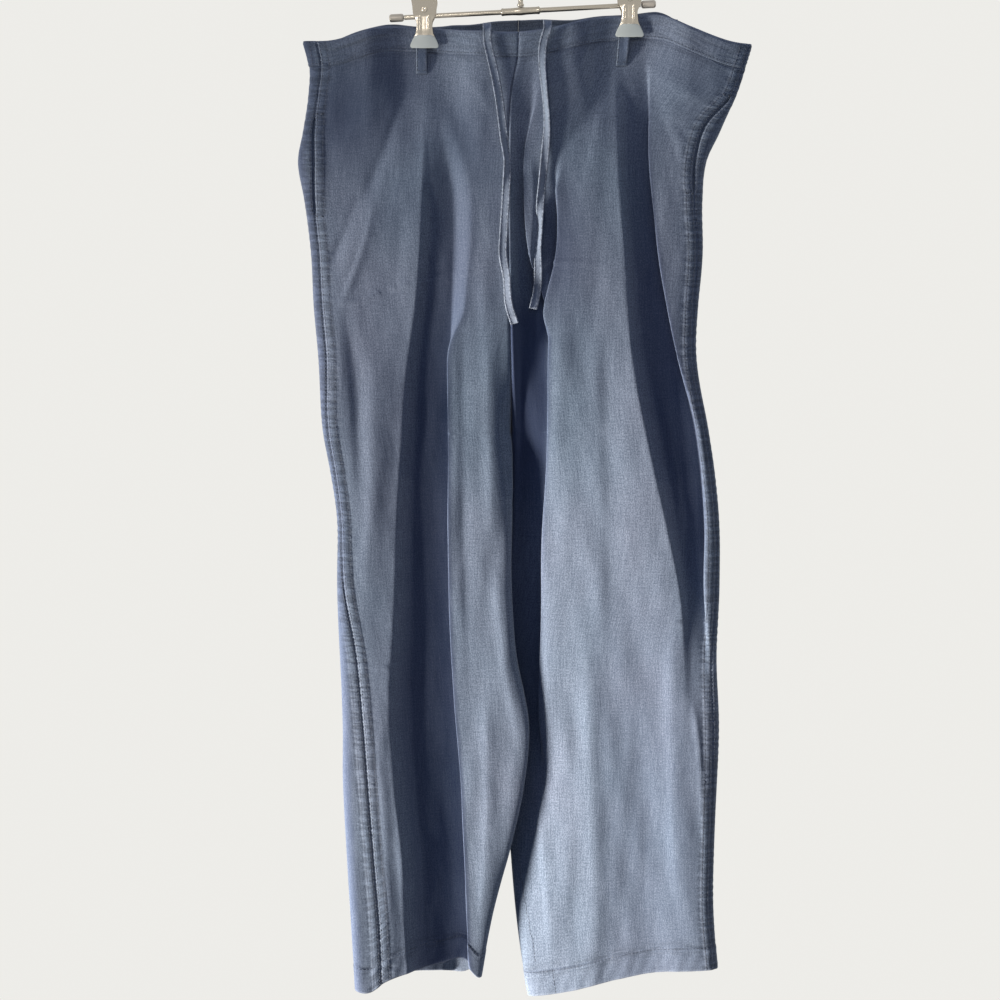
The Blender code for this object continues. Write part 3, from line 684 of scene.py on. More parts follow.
def stretch_of(leg, side, line, distance, drop):
    """The seam end and the inner end of one panel along a section."""
    seam = seam_distance(leg, line, distance, drop)
    top, bottom = POCKETS[leg]
    opened = ease(drop, top, top + SLIT_FADE) * (1.0 - ease(drop, bottom - SLIT_FADE, bottom))
    side_clear = SEAM_CLEAR + SLIT_HALF * float(opened)
    if side == "front":
        return seam + side_clear, distance[-1] - SEAM_CLEAR
    return seam - side_clear, SEAM_CLEAR


def places_along(distance, direction, seam_end, inner_end, count):
    """Distances of a row's points: set ones by the seam, then closer at bends."""
    way = math.copysign(1.0, inner_end - seam_end)
    near = seam_end + way * np.array(SEAM_COLUMNS)
    angles = np.unwrap(np.arctan2(direction[:, 1], direction[:, 0]))
    bend = np.concatenate([[0.0], np.cumsum(np.abs(np.diff(angles)))])
    measure = distance + BEND_WEIGHT * bend
    first, last = np.interp([near[-1], inner_end], distance, measure)
    rest = np.interp(np.linspace(first, last, count + 1)[1:], measure, distance)
    return np.concatenate([near, rest])


def waist_shift(side, x, drop):
    """How far the waist's own line lowers or lifts the cloth."""
    shift = along(WAIST_LINE, x)[:, 0] - BAND_TOP
    if side == "back":
        shift = shift - along(BACK_RISE, x)[:, 0]
    return shift * (1.0 - ease(drop, *WAIST_FADE))


def hem_shift(leg, side, x, drop):
    """How far the hem's own line lowers or lifts the cloth."""
    rows = LEFT_HEM if leg == "left" else RIGHT_HEM
    column = HEM_COLUMNS.index(side) - 1
    shift = along(rows, x)[:, column] - HEM
    return shift * ease(drop, *HEM_FADE)


def real_drop(leg, side, x, y, drop):
    """Drop of cloth points, with the waist's and the hem's own lines."""
    part_back = ease(y, -4.0, 4.0) if side == "back" else np.zeros_like(x)
    front = waist_shift("front", x, drop) + hem_shift(leg, "front", x, drop)
    back = waist_shift("back", x, drop) + hem_shift(leg, "back", x, drop)
    return drop + front * (1.0 - part_back) + back * part_back


def nominal_drop(leg, side, x, drop):
    """The drop in the tables of a cloth point that hangs at a real drop."""
    guess = drop
    for _ in range(12):
        place = np.array([x], float)
        shift = waist_shift(side, place, guess) + hem_shift(leg, side, place, guess)
        guess = drop - float(shift[0])
    return guess


def surface(leg, side, x, drop):
    """How far back the panel's outer face lies at a place seen from the front."""
    at = nominal_drop(leg, side, x, drop)
    line = half_line(leg, side, min(max(at, BAND_TOP), HEM))
    order = np.argsort(line[:, 0])
    return float(np.interp(x, line[order, 0], line[order, 1]))


# Finer form of the cloth.


@functools.lru_cache(maxsize=None)
def rumple_waves(seed):
    """Lengths, slants and phases of the waves that make cloth uneven."""
    numbers = np.random.default_rng(seed)
    across = numbers.uniform(*RUMPLE_ACROSS, RUMPLE_WAVES)
    down = numbers.uniform(*RUMPLE_DOWN, RUMPLE_WAVES)
    down *= numbers.choice([-1.0, 1.0], RUMPLE_WAVES)
    phase = numbers.uniform(0.0, 2 * math.pi, RUMPLE_WAVES)
    return across, down, phase


def rumple(x, drop, seed):
    """Soft unevenness all over the cloth."""
    across, down, phase = rumple_waves(seed)
    turn = 2 * math.pi * (x[:, None] / across + drop[:, None] / down) + phase
    waves = np.sin(turn) * (across / RUMPLE_ACROSS[1])
    return waves.sum(axis=1) * RUMPLE_HEIGHT / math.sqrt(RUMPLE_WAVES / 4)


def creases(leg, side, x, drop):
    """Height of the creases that lie over the folds."""
    total = np.zeros_like(x)
    for row in CREASES[leg, side]:
        sizes = dict(zip(CREASE_COLUMNS, row))
        run = np.array([sizes["to_x"] - sizes["from_x"], sizes["to_drop"] - sizes["from_drop"]])
        long = float(np.hypot(*run))
        right = x - sizes["from_x"]
        down = drop - sizes["from_drop"]
        part = (right * run[0] + down * run[1]) / long**2
        off = (right * run[1] - down * run[0]) / long
        off = off - sizes["bow"] * 4.0 * part * (1.0 - part)
        wide = sizes["wide"] * np.where(off > 0.0, 1.0, 0.55)
        taper = ease(part, -0.04, 0.22) * (1.0 - ease(part, 0.72, 1.04))
        total += sizes["height"] * np.exp(-((off / wide) ** 2)) * taper
    return total


def puckers(drop, from_seam, seed):
    """Ripples that the stitching draws into the cloth beside a seam."""
    uneven = 0.6 + 0.4 * np.sin(drop / 23.0 + seed)
    wave = np.sin(2 * math.pi * drop / PUCKER_LONG + 0.9 * np.sin(drop / 31.0))
    fade = 1.0 - ease(from_seam, *PUCKER_REACH)
    return PUCKER_HIGH * uneven * wave * fade


def roping(leg, x, drop):
    """Slanted ripples of a hem that was sewn under a little drag."""
    inside = ease(drop, HEM_STITCH - 3.0, HEM_STITCH + 6.0)
    wave = np.sin(2 * math.pi * (x + 0.45 * drop) / ROPING_LONG + np.sin(x / 26.0))
    return ROPING_HIGH * wave * inside


def edge_roll(from_seam, from_inner):
    """How far the cloth rolls under at its seams."""
    reach, low = EDGE_ROLL
    return low * (2.0 - ease(from_seam, 0.0, reach) - ease(from_inner, 0.0, reach))


def relief(leg, side, x, drop, nominal, from_seam, from_inner):
    """How far a panel's finer form stands proud of its sections."""
    seed = {"left": 3, "right": 11}[leg] + (0 if side == "front" else 20)
    calm = 1.0 - WAIST_CALM * (1.0 - ease(nominal, *CALM_FADE))
    calm = calm * (1.0 - PINCH_CALM * pinch(x, nominal))
    edge = ease(from_seam, 0.0, RELIEF_EDGES[0]) * ease(from_inner, 0.0, RELIEF_EDGES[1])
    total = (creases(leg, side, x, drop) * calm + rumple(x, drop, seed)) * edge
    total += puckers(drop, from_seam, seed)
    total += STRIP_HIGH * (1.0 - ease(from_seam, STRIP_WIDE - 1.0, STRIP_WIDE + 0.4))
    for place in STITCH_ROWS:
        total -= STITCH_LOW * np.exp(-(((from_seam - place) / STITCH_WIDE) ** 2))
    fold_top = HEM - HEM_HEIGHT
    total += HEM_PROUD * float(ease(nominal, fold_top - 1.0, fold_top + 0.5))
    total -= HEM_LOW * math.exp(-(((nominal - HEM_STITCH) / HEM_STITCH_WIDE) ** 2))
    total += roping(leg, x, np.full_like(x, nominal))
    total -= BAND_ROLL * (1.0 - float(ease(nominal, BAND_FOOT, BAND_FOOT + 2.0)))
    return np.maximum(total, RELIEF_LOWEST)


def band_relief(side, x, drop, nominal, from_seam, from_inner):
    """Finer form of the waistband's casing, with its small gathers."""
    gather = 1.0 - 0.8 * pinch(x, BAND_FOOT)
    wave = np.sin(x / 4.3 + 1.3 * np.sin(x / 17.0)) * 0.35 + np.sin(x / 9.7) * 0.4
    down = (nominal - BAND_TOP) / (BAND_FOOT - BAND_TOP)
    total = BAND_PROUD + wave * gather * (0.35 + 0.65 * down**2) * 0.7
    total -= 1.1 * (1.0 - float(ease(nominal, BAND_TOP, BAND_TOP + 2.4)))
    total -= BAND_ROLL * float(ease(nominal, BAND_FOOT - 1.2, BAND_FOOT))
    total -= 0.35 * math.exp(-(((nominal - BAND_FOOT + 3.0) / 0.8) ** 2))
    return total


def cloth_grid(leg, side, drops, count, form):
    """Points, outward directions and flat places of a piece of cloth, in rows."""
    grid = {"points": [], "outward": [], "flat": [], "pucker": [], "wear": [], "recess": []}
    for drop in drops:
        line, distance, direction = section(leg, drop)
        seam_end, inner_end = stretch_of(leg, side, line, distance, drop)
        wanted = places_along(distance, direction, seam_end, inner_end, count)
        x, y, recess = (np.interp(wanted, distance, line[:, axis]) for axis in range(3))
        turned = [np.interp(wanted, distance, direction[:, axis]) for axis in (0, 1)]
        size = np.hypot(*turned)
        way = 1.0 if leg == "left" else -1.0
        normal = way * np.stack([turned[1], -turned[0]], axis=1) / size[:, None]
        down = real_drop(leg, side, x, y, drop)
        from_seam = np.abs(wanted - seam_end)
        from_inner = np.abs(wanted - inner_end)
        if drop < CROTCH:
            normal[:, 0] *= ease(from_inner, 0.0, CENTRE_SEAM_REACH)
        rolled = edge_roll(from_seam, from_inner) * np.abs(normal[:, 1])
        proud = form(x, down, drop, from_seam, from_inner) - rolled
        flat = np.stack([x, y], axis=1) + normal * proud[:, None]
        grid["points"].append(np.column_stack([flat, -HOOK_TO_BAR - down]))
        grid["outward"].append(np.column_stack([normal, np.zeros_like(x)]))
        grid["flat"].append(np.column_stack([from_seam, np.full_like(x, drop)]))
        grid["pucker"].append(pucker_share(from_seam, drop))
        grid["wear"].append(wear_share(from_seam, from_inner, drop))
        # The section's painted shade, with more along the stitch grooves and seams.
        grid["recess"].append(np.maximum(recess, groove_share(from_seam, from_inner, drop)))
    return {name: np.array(rows) for name, rows in grid.items()}


def pucker_share(from_seam, drop):
    """Where the stitching draws fine puckers, from 0 to 1."""
    by_hem, by_waist = PUCKERED_SHARES
    hem = by_hem * math.exp(-(((drop - HEM_STITCH) / PUCKERED_HEM) ** 2))
    waist = by_waist * (1.0 - float(ease(drop - BAND_FOOT, *PUCKERED_WAIST)))
    return np.maximum(1.0 - ease(from_seam, *PUCKERED_SIDE), max(hem, waist))


def groove_share(from_seam, from_inner, drop):
    """How much shade is painted where stitching sinks the cloth into a groove, from 0 to 1."""
    lines = [(from_seam - place, 0.6, GROOVE_SHARE) for place in STITCH_ROWS]
    lines.append((drop - HEM_STITCH, 1.0, GROOVE_SHARE))
    lines.append((drop - BAND_FOOT, 0.8, SEAM_SHARE))
    if drop < CROTCH:
        lines.append((from_inner, 0.8, SEAM_SHARE))
    total = np.zeros_like(from_seam)
    for off, wide, share in lines:
        total = np.maximum(total, share * np.exp(-((off / wide) ** 2)))
    return total


def wear_share(from_seam, from_inner, drop):
    """Where the cloth is rubbed pale, from 0 to 1."""
    seam = 0.8 * (1.0 - ease(from_seam, 0.6, 2.6))
    edge = (1.0 - ease(from_inner, 0.4, 2.4)) * float(ease(drop, CROTCH, CROTCH + 30.0))
    ridge = 0.6 * np.exp(-(((from_seam - STRIP_WIDE + 0.6) / 0.9) ** 2))
    hem = float(ease(drop, HEM - 2.5, HEM - 0.5))
    top = 1.0 - float(ease(drop, BAND_TOP + 0.5, BAND_TOP + 2.5))
    return np.maximum(np.maximum(seam, ridge), np.maximum(edge, max(hem, top)))


GRIDS = {}


# Meshes.


def finish_mesh(name, mesh, look):
    """An object at the origin that rides on the part and wears one material."""
    mesh.materials.append(look)
    made = bpy.data.objects.new(name, mesh)
    bpy.context.scene.collection.objects.link(made)
    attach(made, "root")
    return made


def grid_mesh(name, points, flat, shares=None):
    """A sheet of quads through rows of points, with its flat places as a UV map."""
    rows, columns = points.shape[:2]
    sheet = bmesh.new()
    bmesh.ops.create_grid(sheet, x_segments=columns - 1, y_segments=rows - 1, size=0.5)
    mesh = bpy.data.meshes.new(name)
    sheet.to_mesh(mesh)
    sheet.free()
    places = np.zeros(len(mesh.vertices) * 3)
    mesh.vertices.foreach_get("co", places)
    places = places.reshape(-1, 3)
    column = np.rint((places[:, 0] + 0.5) * (columns - 1)).astype(int)
    row = np.rint((places[:, 1] + 0.5) * (rows - 1)).astype(int)
    mesh.vertices.foreach_set("co", (points[row, column] * MM).ravel())
    corner = np.zeros(len(mesh.loops), int)
    mesh.loops.foreach_get("vertex_index", corner)
    chart = mesh.uv_layers.new(name="cloth")
    chart.data.foreach_set("uv", (flat[row, column][corner] * MM).ravel())
    for label, values in (shares or {}).items():
        share = mesh.attributes.new(label, "FLOAT", "POINT")
        share.data.foreach_set("value", values[row, column].astype(float))
    mesh.update()
    return mesh


def face_outward(mesh, points, outward):
    """Turn a sheet's faces to the side that its outward directions point to."""
    middle = tuple(size // 2 for size in points.shape[:2])
    right = points[middle[0], middle[1] + 1] - points[middle]
    down = points[middle[0] + 1, middle[1]] - points[middle]
    if np.dot(np.cross(right, down), outward[middle]) < 0.0:
        mesh.flip_normals()
    mesh.update()


def thicken(made, thick, offset=-1.0):
    """Give a sheet its thickness."""
    wall = made.modifiers.new("thickness", "SOLIDIFY")
    wall.thickness = thick
    wall.offset = offset


def cloth_object(name, grid, look, thick):
    """A piece of cloth from its grid, thick towards the inside."""
    shares = {name: grid[name] for name in ("pucker", "wear", "recess")}
    mesh = grid_mesh(name, grid["points"], grid["flat"], shares)
    face_outward(mesh, grid["points"], grid["outward"])
    mesh.shade_smooth()
    made = finish_mesh(name, mesh, look)
    thicken(made, thick)
    return made


def stitched(name, lines, look):
    """Stitches along lines of points, each a small thread that dips at its ends."""
    settings = cloth_settings()
    pitch = settings.stitch_long / MM * 1.18
    threads = bmesh.new()
    for points, outward in lines:
        steps = np.linalg.norm(np.diff(points, axis=0), axis=1)
        distance = np.concatenate([[0.0], np.cumsum(steps)])
        count = int(distance[-1] // pitch)
        starts = np.linspace(0.0, distance[-1] - pitch, max(count, 1))
        for start in starts:
            ends = [start, start + settings.stitch_long / MM]
            one, two = (
                np.array([np.interp(place, distance, points[:, axis]) for axis in range(3)])
                for place in ends
            )
            up = np.array(
                [np.interp(start, distance, outward[:, axis]) for axis in range(3)]
            )
            add_stitch(threads, one, two, up)
    mesh = bpy.data.meshes.new(name)
    threads.to_mesh(mesh)
    threads.free()
    mesh.shade_smooth()
    return finish_mesh(name, mesh, look)


def add_stitch(threads, one, two, up):
    """One stitch between two points on the cloth."""
    thick = cloth_settings().thread_thick / MM
    run = Vector(two - one)
    long = max(run.length, 0.2)
    run.normalize()
    rise = Vector(up)
    rise = (rise - run * rise.dot(run)).normalized()
    side = run.cross(rise)
    turn = Matrix((run, side, rise)).transposed().to_4x4()
    size = Matrix.Diagonal((long, thick, thick * 0.8, 1.0))
    middle = Matrix.Translation(Vector((one + two) / 2) + rise * thick * 0.18)
    place = Matrix.Scale(MM, 4) @ middle @ turn @ size
    bmesh.ops.create_icosphere(threads, subdivisions=1, radius=0.5, matrix=place)


def line_on(grid, route):
    """Points and outward directions on a piece of cloth along an (x, drop) route."""
    route = np.array(route, float)
    points, outward = [], []
    for row, facing in zip(grid["points"], grid["outward"]):
        start = int(np.argmin(np.abs(row[:, 0] - route[0, 0])))
        drop = -row[start, 2] - HOOK_TO_BAR
        if not route[0, 1] <= drop <= route[-1, 1]:
            continue
        x = np.interp(drop, route[:, 1], route[:, 0])
        near = int(np.argmin(np.abs(row[:, 0] - x)))
        points.append(row[near])
        outward.append(facing[near])
    return np.array(points), np.array(outward)


def lathe(name, profile, start, way, look, closed=False, sides=40):
    """A turned piece: a profile of (radius, distance) spun about a line."""
    shell = bmesh.new()
    verts = [shell.verts.new((radius, 0.0, far)) for radius, far in profile]
    pairs = list(zip(verts, verts[1:]))
    if closed:
        pairs.append((verts[-1], verts[0]))
    edges = [shell.edges.new(pair) for pair in pairs]
    bmesh.ops.spin(
        shell, geom=verts + edges, cent=(0, 0, 0), axis=(0, 0, 1),
        angle=2 * math.pi, steps=sides, use_merge=True,
    )
    bmesh.ops.remove_doubles(shell, verts=shell.verts, dist=0.0001)
    bmesh.ops.recalc_face_normals(shell, faces=shell.faces)
    turn = Vector(way).to_track_quat("Z", "Y").to_matrix().to_4x4()
    place = Matrix.Scale(MM, 4) @ Matrix.Translation(Vector(start)) @ turn
    bmesh.ops.transform(shell, matrix=place, verts=shell.verts)
    mesh = bpy.data.meshes.new(name)
    shell.to_mesh(mesh)
    shell.free()
    mesh.shade_smooth()
    mesh.set_sharp_from_angle(angle=math.radians(50.0))
    return finish_mesh(name, mesh, look)


def round_ends(radius, long, curve, bore=0.0, steps=5):
    """Profile of a rod or ring with rounded ends, from its axis or bore outwards."""
    profile = [(bore, 0.0)]
    for step in range(steps + 1):
        turn = math.pi / 2 * step / steps
        profile.append((radius - curve * (1 - math.sin(turn)), curve * (1 - math.cos(turn))))
    for step in range(steps + 1):
        turn = math.pi / 2 * (1 - step / steps)
        profile.append(
            (radius - curve * (1 - math.sin(turn)), long - curve * (1 - math.cos(turn)))
        )
    profile.append((bore, long))
    return profile


# Materials.


def add(tree, kind, inputs=None, **settings):
    """Add a node to a tree with its settings, and fill or link its inputs."""
    made = tree.nodes.new("ShaderNode" + kind)
    for name, value in settings.items():
        setattr(made, name, value)
    for name, value in (inputs or {}).items():
        if isinstance(value, bpy.types.NodeSocket):
            tree.links.new(value, made.inputs[name])
        else:
            made.inputs[name].default_value = value
    return made


def new_look(name):
    """An empty material with its tree, and the socket that takes its shader."""
    look = bpy.data.materials.new(name)
    look.use_nodes = True
    tree = look.node_tree
    tree.nodes.clear()
    out = add(tree, "OutputMaterial")
    return look, tree, out.inputs["Surface"]


def rgba(colour):
    return (*colour, 1.0)


def slubs(tree, places, across, down, detail=2.0):
    """Uneven threads: noise stretched to a thread's width and a slub's length."""
    stretched = add(
        tree, "Mapping", {"Vector": places, "Scale": (1 / across, 1 / down, 1.0)}
    )
    noise = add(
        tree, "TexNoise", {"Vector": stretched.outputs[0], "Scale": 1.0, "Detail": detail},
        noise_dimensions="2D",
    )
    return noise.outputs["Fac"]


def math_node(tree, operation, one, two=0.0, three=0.0):
    return add(tree, "Math", {0: one, 1: two, 2: three}, operation=operation).outputs[0]


def linen_look(name, settings, pale=0.0, pucker_gain=1.0):
    """Washed slub linen, plain woven from uneven yarn and piece dyed.

    It gives a matt, dusty surface with fine streaks both ways, pale where it is rubbed
    at seams and edges, and darker where shade is painted in. The yarns are 0.7 mm apart,
    and are drawn coarser to show.
    """
    look, tree, surface_socket = new_look(name)
    chart = add(tree, "UVMap", uv_map="cloth")
    places = add(
        tree, "VectorMath", {0: chart.outputs[0], "Scale": 1000.0}, operation="SCALE"
    ).outputs[0]
    spacing = settings.yarn_spacing / MM
    warp = slubs(tree, places, spacing, 22.0)
    weft = slubs(tree, places, 16.0, spacing * 1.1)
    grain = slubs(tree, places, spacing * 0.8, spacing * 1.2)
    patch = slubs(tree, places, 120.0, 210.0)
    crinkle = slubs(tree, places, 9.0, 34.0, 3.0)
    yarns = math_node(tree, "ADD", math_node(tree, "MULTIPLY", warp, 0.27),
                      math_node(tree, "MULTIPLY", weft, 0.15))
    yarns = math_node(tree, "MULTIPLY_ADD", grain, 0.58, yarns)
    tone = add(tree, "ValToRGB", {"Fac": yarns})
    ramp = tone.color_ramp
    ramp.elements[0].position, ramp.elements[0].color = 0.24, rgba(settings.deep)
    ramp.elements[1].position, ramp.elements[1].color = 0.8, rgba(settings.worn)
    middle = ramp.elements.new(0.5)
    middle.color = rgba(settings.base)
    cast = add(
        tree, "Mix",
        {0: patch, 6: rgba(linear("#fbf4f8")), 7: rgba(linear("#dcecf0"))},
        data_type="RGBA",
    )
    tinted = add(
        tree, "Mix", {0: 1.0, 6: tone.outputs[0], 7: cast.outputs[2]},
        data_type="RGBA", blend_type="MULTIPLY",
    )
    wear = add(tree, "Attribute", attribute_name="wear", attribute_type="GEOMETRY")
    rubbed = math_node(tree, "MULTIPLY_ADD", wear.outputs["Fac"], 0.32, pale)
    worn = add(
        tree, "Mix", {0: rubbed, 6: tinted.outputs[2], 7: rgba(settings.worn)},
        data_type="RGBA",
    )
    # Painted shade darkens the cloth where the attribute marks it: folds, grooves and patches.
    recess = add(tree, "Attribute", attribute_name="recess", attribute_type="GEOMETRY")
    shade_share = math_node(tree, "MULTIPLY", recess.outputs["Fac"], PAINTED_SHADE_MIX)
    dyed = add(
        tree, "Mix", {0: shade_share, 6: worn.outputs[2], 7: rgba(linear(PAINTED_SHADE_COLOUR))},
        data_type="RGBA",
    )
    pucker = add(tree, "Attribute", attribute_name="pucker", attribute_type="GEOMETRY")
    ripples = pucker_ripples(tree, places)
    rippled = math_node(tree, "MULTIPLY", ripples, pucker.outputs["Fac"])
    # Shade is painted into the ripples' hollows, which the bump also lowers.
    shade = math_node(tree, "MULTIPLY_ADD", rippled, -0.3 * pucker_gain, 1.0)
    colour = add(
        tree, "Mix", {0: 1.0, 6: dyed.outputs[2], 7: shade},
        data_type="RGBA", blend_type="MULTIPLY",
    )
    height = math_node(tree, "MULTIPLY", yarns, 0.16)
    height = math_node(tree, "MULTIPLY_ADD", rippled, -0.5 * pucker_gain, height)
    height = math_node(tree, "MULTIPLY_ADD", crinkle, 0.4, height)
    bump = add(tree, "Bump", {"Height": height, "Strength": 0.5, "Distance": 0.001})
    shader = add(
        tree, "BsdfPrincipled",
        {"Base Color": colour.outputs[2], "Roughness": 0.92, "IOR": 1.5,
         "Specular IOR Level": 0.22, "Sheen Weight": 0.12, "Sheen Roughness": 0.45,
         "Normal": bump.outputs[0]},
    )
    tree.links.new(shader.outputs[0], surface_socket)
    return look


def pucker_ripples(tree, places):
    """Short ripples across a stitched edge, one for each stitch or so, from 0 to 1."""
    stretched = add(tree, "Mapping", {"Vector": places, "Scale": (0.05, 1 / 3.9, 1.0)})
    noise = add(
        tree, "TexNoise",
        {"Vector": stretched.outputs[0], "Scale": 1.0, "Detail": 1.0},
        noise_dimensions="2D",
    )
    sharp = add(
        tree, "MapRange",
        {"Value": noise.outputs["Fac"], "From Min": 0.38, "From Max": 0.62},
        interpolation_type="SMOOTHSTEP",
    )
    return sharp.outputs[0]


def thread_look(name, colour):
    """Spun polyester sewing thread: a soft shine along small raised stitches."""
    look, tree, surface_socket = new_look(name)
    place = add(tree, "TexCoord").outputs["Object"]
    noise = add(tree, "TexNoise", {"Vector": place, "Scale": 900.0, "Detail": 1.0})
    tone = add(
        tree, "Mix",
        {0: noise.outputs["Fac"], 6: rgba([part * 0.7 for part in colour]), 7: rgba(colour)},
        data_type="RGBA",
    )
    shader = add(
        tree, "BsdfPrincipled",
        {"Base Color": tone.outputs[2], "Roughness": 0.6, "Sheen Weight": 0.2},
    )
    tree.links.new(shader.outputs[0], surface_socket)
    return look


def steel_look(name, colour, roughness):
    """Nickel plated steel wire and sheet: bright, with the faint marks of drawing."""
    look, tree, surface_socket = new_look(name)
    place = add(tree, "TexCoord").outputs["Object"]
    # Drawing lines are far finer than a pixel, so they are drawn 2 mm apart.
    marks = add(tree, "TexNoise", {"Vector": place, "Scale": 500.0, "Detail": 3.0})
    dull = add(
        tree, "MapRange",
        {"Value": marks.outputs["Fac"], "To Min": roughness * 0.8, "To Max": roughness * 1.3},
    )
    bump = add(
        tree, "Bump", {"Height": marks.outputs["Fac"], "Strength": 0.12, "Distance": 0.0002}
    )
    shader = add(
        tree, "BsdfPrincipled",
        {"Base Color": rgba(colour), "Metallic": 1.0, "Roughness": dull.outputs[0],
         "Normal": bump.outputs[0]},
    )
    tree.links.new(shader.outputs[0], surface_socket)
    return look


def plastic_look(name, colour, roughness, plated=0.0):
    """Moulded ABS, bare or plated: an even colour with a faintly pebbled skin and soft highlights."""
    look, tree, surface_socket = new_look(name)
    place = add(tree, "TexCoord").outputs["Object"]
    pebble = add(tree, "TexNoise", {"Vector": place, "Scale": 1400.0, "Detail": 2.0})
    cloud = add(tree, "TexNoise", {"Vector": place, "Scale": 90.0, "Detail": 2.0})
    tone = add(
        tree, "Mix",
        {0: cloud.outputs["Fac"], 6: rgba([part * 0.86 for part in colour]), 7: rgba(colour)},
        data_type="RGBA",
    )
    bump = add(
        tree, "Bump", {"Height": pebble.outputs["Fac"], "Strength": 0.2, "Distance": 0.0003}
    )
    shader = add(
        tree, "BsdfPrincipled",
        {"Base Color": tone.outputs[2], "Roughness": roughness, "IOR": 1.53,
         "Metallic": plated, "Normal": bump.outputs[0]},
    )
    tree.links.new(shader.outputs[0], surface_socket)
    return look


def tent_look(name, colour):
    """White tent cloth lit from outside: bright behind, pale above, dim in front."""
    look, tree, surface_socket = new_look(name)
    place = add(tree, "TexCoord").outputs["Object"]
    apart = add(tree, "SeparateXYZ", {0: place})
    behind = add(
        tree, "MapRange",
        {"Value": apart.outputs["Y"], "From Min": -0.6, "From Max": 1.6,
         "To Min": TENT_FRONT, "To Max": TENT_BEHIND},
        interpolation_type="SMOOTHSTEP",
    )
    above = add(
        tree, "MapRange",
        {"Value": apart.outputs["Z"], "From Min": 0.6, "From Max": TENT_TOP,
         "To Min": 0.0, "To Max": TENT_ABOVE},
        interpolation_type="SMOOTHSTEP",
    )
    lit = math_node(tree, "MAXIMUM", behind.outputs[0], above.outputs[0])
    # The cloth is lit by the tent's own light and dark, and all else meets its pale wall.
    ray = add(tree, "LightPath")
    strength = add(
        tree, "Mix", {0: ray.outputs["Is Diffuse Ray"], 2: TENT_BEHIND, 3: lit},
    ).outputs[0]
    cool = add(
        tree, "MapRange", {"Value": apart.outputs["Y"], "From Min": -0.6, "From Max": 1.6}
    )
    paled = math_node(
        tree, "MAXIMUM", cool.outputs[0],
        math_node(tree, "SUBTRACT", 1.0, ray.outputs["Is Diffuse Ray"]),
    )
    shade = add(
        tree, "Mix", {0: paled, 6: rgba(linear(TENT_SHADE)), 7: rgba(colour)},
        data_type="RGBA",
    )
    glow = add(tree, "Emission", {"Color": shade.outputs[2], "Strength": strength})
    tree.links.new(glow.outputs[0], surface_socket)
    return look


@functools.lru_cache(maxsize=None)
def looks():
    """Every material of the trousers and the hanger, made once."""
    cloth, hanger = cloth_settings(), hanger_settings()
    return {
        "linen": linen_look("washed slub linen", cloth),
        "tape": linen_look("folded linen tape", cloth, pale=0.25, pucker_gain=1.2),
        "thread": thread_look("polyester thread", tuple(cloth.thread)),
        "pale thread": thread_look("faded thread", tuple(cloth.worn)),
        "steel": steel_look("nickel plated steel", tuple(hanger.steel), 0.24),
        "caps": plastic_look("moulded cap ABS", tuple(hanger.caps), 0.42, plated=0.6),
        "pads": plastic_look("moulded pad ABS", tuple(hanger.pads), 0.38),
    }


class LINEN_OT_studio(bpy.types.Operator):
    """Set up the light tent, the lamps and the camera"""

    bl_idname = "linen.studio"
    bl_label = "Studio"

    def execute(self, context):
        self.tent()
        for name, row in LAMPS.items():
            power = getattr(studio_settings(), name)
            self.lamp(name, power, **dict(zip(LAMP_COLUMNS, row)))
        context.scene.camera = self.camera()
        context.scene.view_settings.view_transform = "Standard"
        world = bpy.data.worlds.new("room")
        world.use_nodes = True
        world.node_tree.nodes["Background"].inputs["Strength"].default_value = 0.0
        context.scene.world = world
        return {"FINISHED"}

    def lamp(self, name, power, place, target, spread, radius, colour):
        """A soft lamp whose light fades away from where it points."""
        light = bpy.data.lights.new(name, "SPOT")
        light.spot_size = math.radians(spread)
        light.spot_blend = 1.0
        light.shadow_soft_size = radius
        light.energy = power
        light.color = linear(colour)
        made = bpy.data.objects.new(name, light)
        made.location = place
        way = Vector(target) - Vector(place)
        made.rotation_euler = way.to_track_quat("-Z", "Y").to_euler()
        bpy.context.scene.collection.objects.link(made)

    def camera(self):
        view = bpy.data.cameras.new("camera")
        view.lens = CAMERA_LENS
        view.sensor_width = 36.0
        made = bpy.data.objects.new("camera", view)
        made.location = CAMERA_PLACE
        way = Vector(CAMERA_TARGET) - Vector(CAMERA_PLACE)
        made.rotation_euler = way.to_track_quat("-Z", "Y").to_euler()
        bpy.context.scene.collection.objects.link(made)
        return made

    def tent(self):
        """A closed round tent: its floor, its wall and its top in one shell."""
        shell = bmesh.new()
        bmesh.ops.create_cone(
            shell, cap_ends=True, segments=96, radius1=TENT_RADIUS, radius2=TENT_RADIUS,
            depth=TENT_TOP - TENT_FLOOR,
            matrix=Matrix.Translation((0.0, 0.0, (TENT_TOP + TENT_FLOOR) / 2)),
        )
        rims = [edge for edge in shell.edges if len(edge.link_faces) == 2
                and any(len(face.verts) > 4 for face in edge.link_faces)]
        bmesh.ops.bevel(
            shell, geom=rims, offset=0.7, offset_type="OFFSET", segments=8,
            profile=0.5, affect="EDGES", material=-1,
        )
        bmesh.ops.reverse_faces(shell, faces=shell.faces)
        mesh = bpy.data.meshes.new("tent")
        shell.to_mesh(mesh)
        shell.free()
        mesh.shade_smooth()
        mesh.materials.append(tent_look("white tent cloth", studio_settings().tent))
        made = bpy.data.objects.new("tent", mesh)
        bpy.context.scene.collection.objects.link(made)


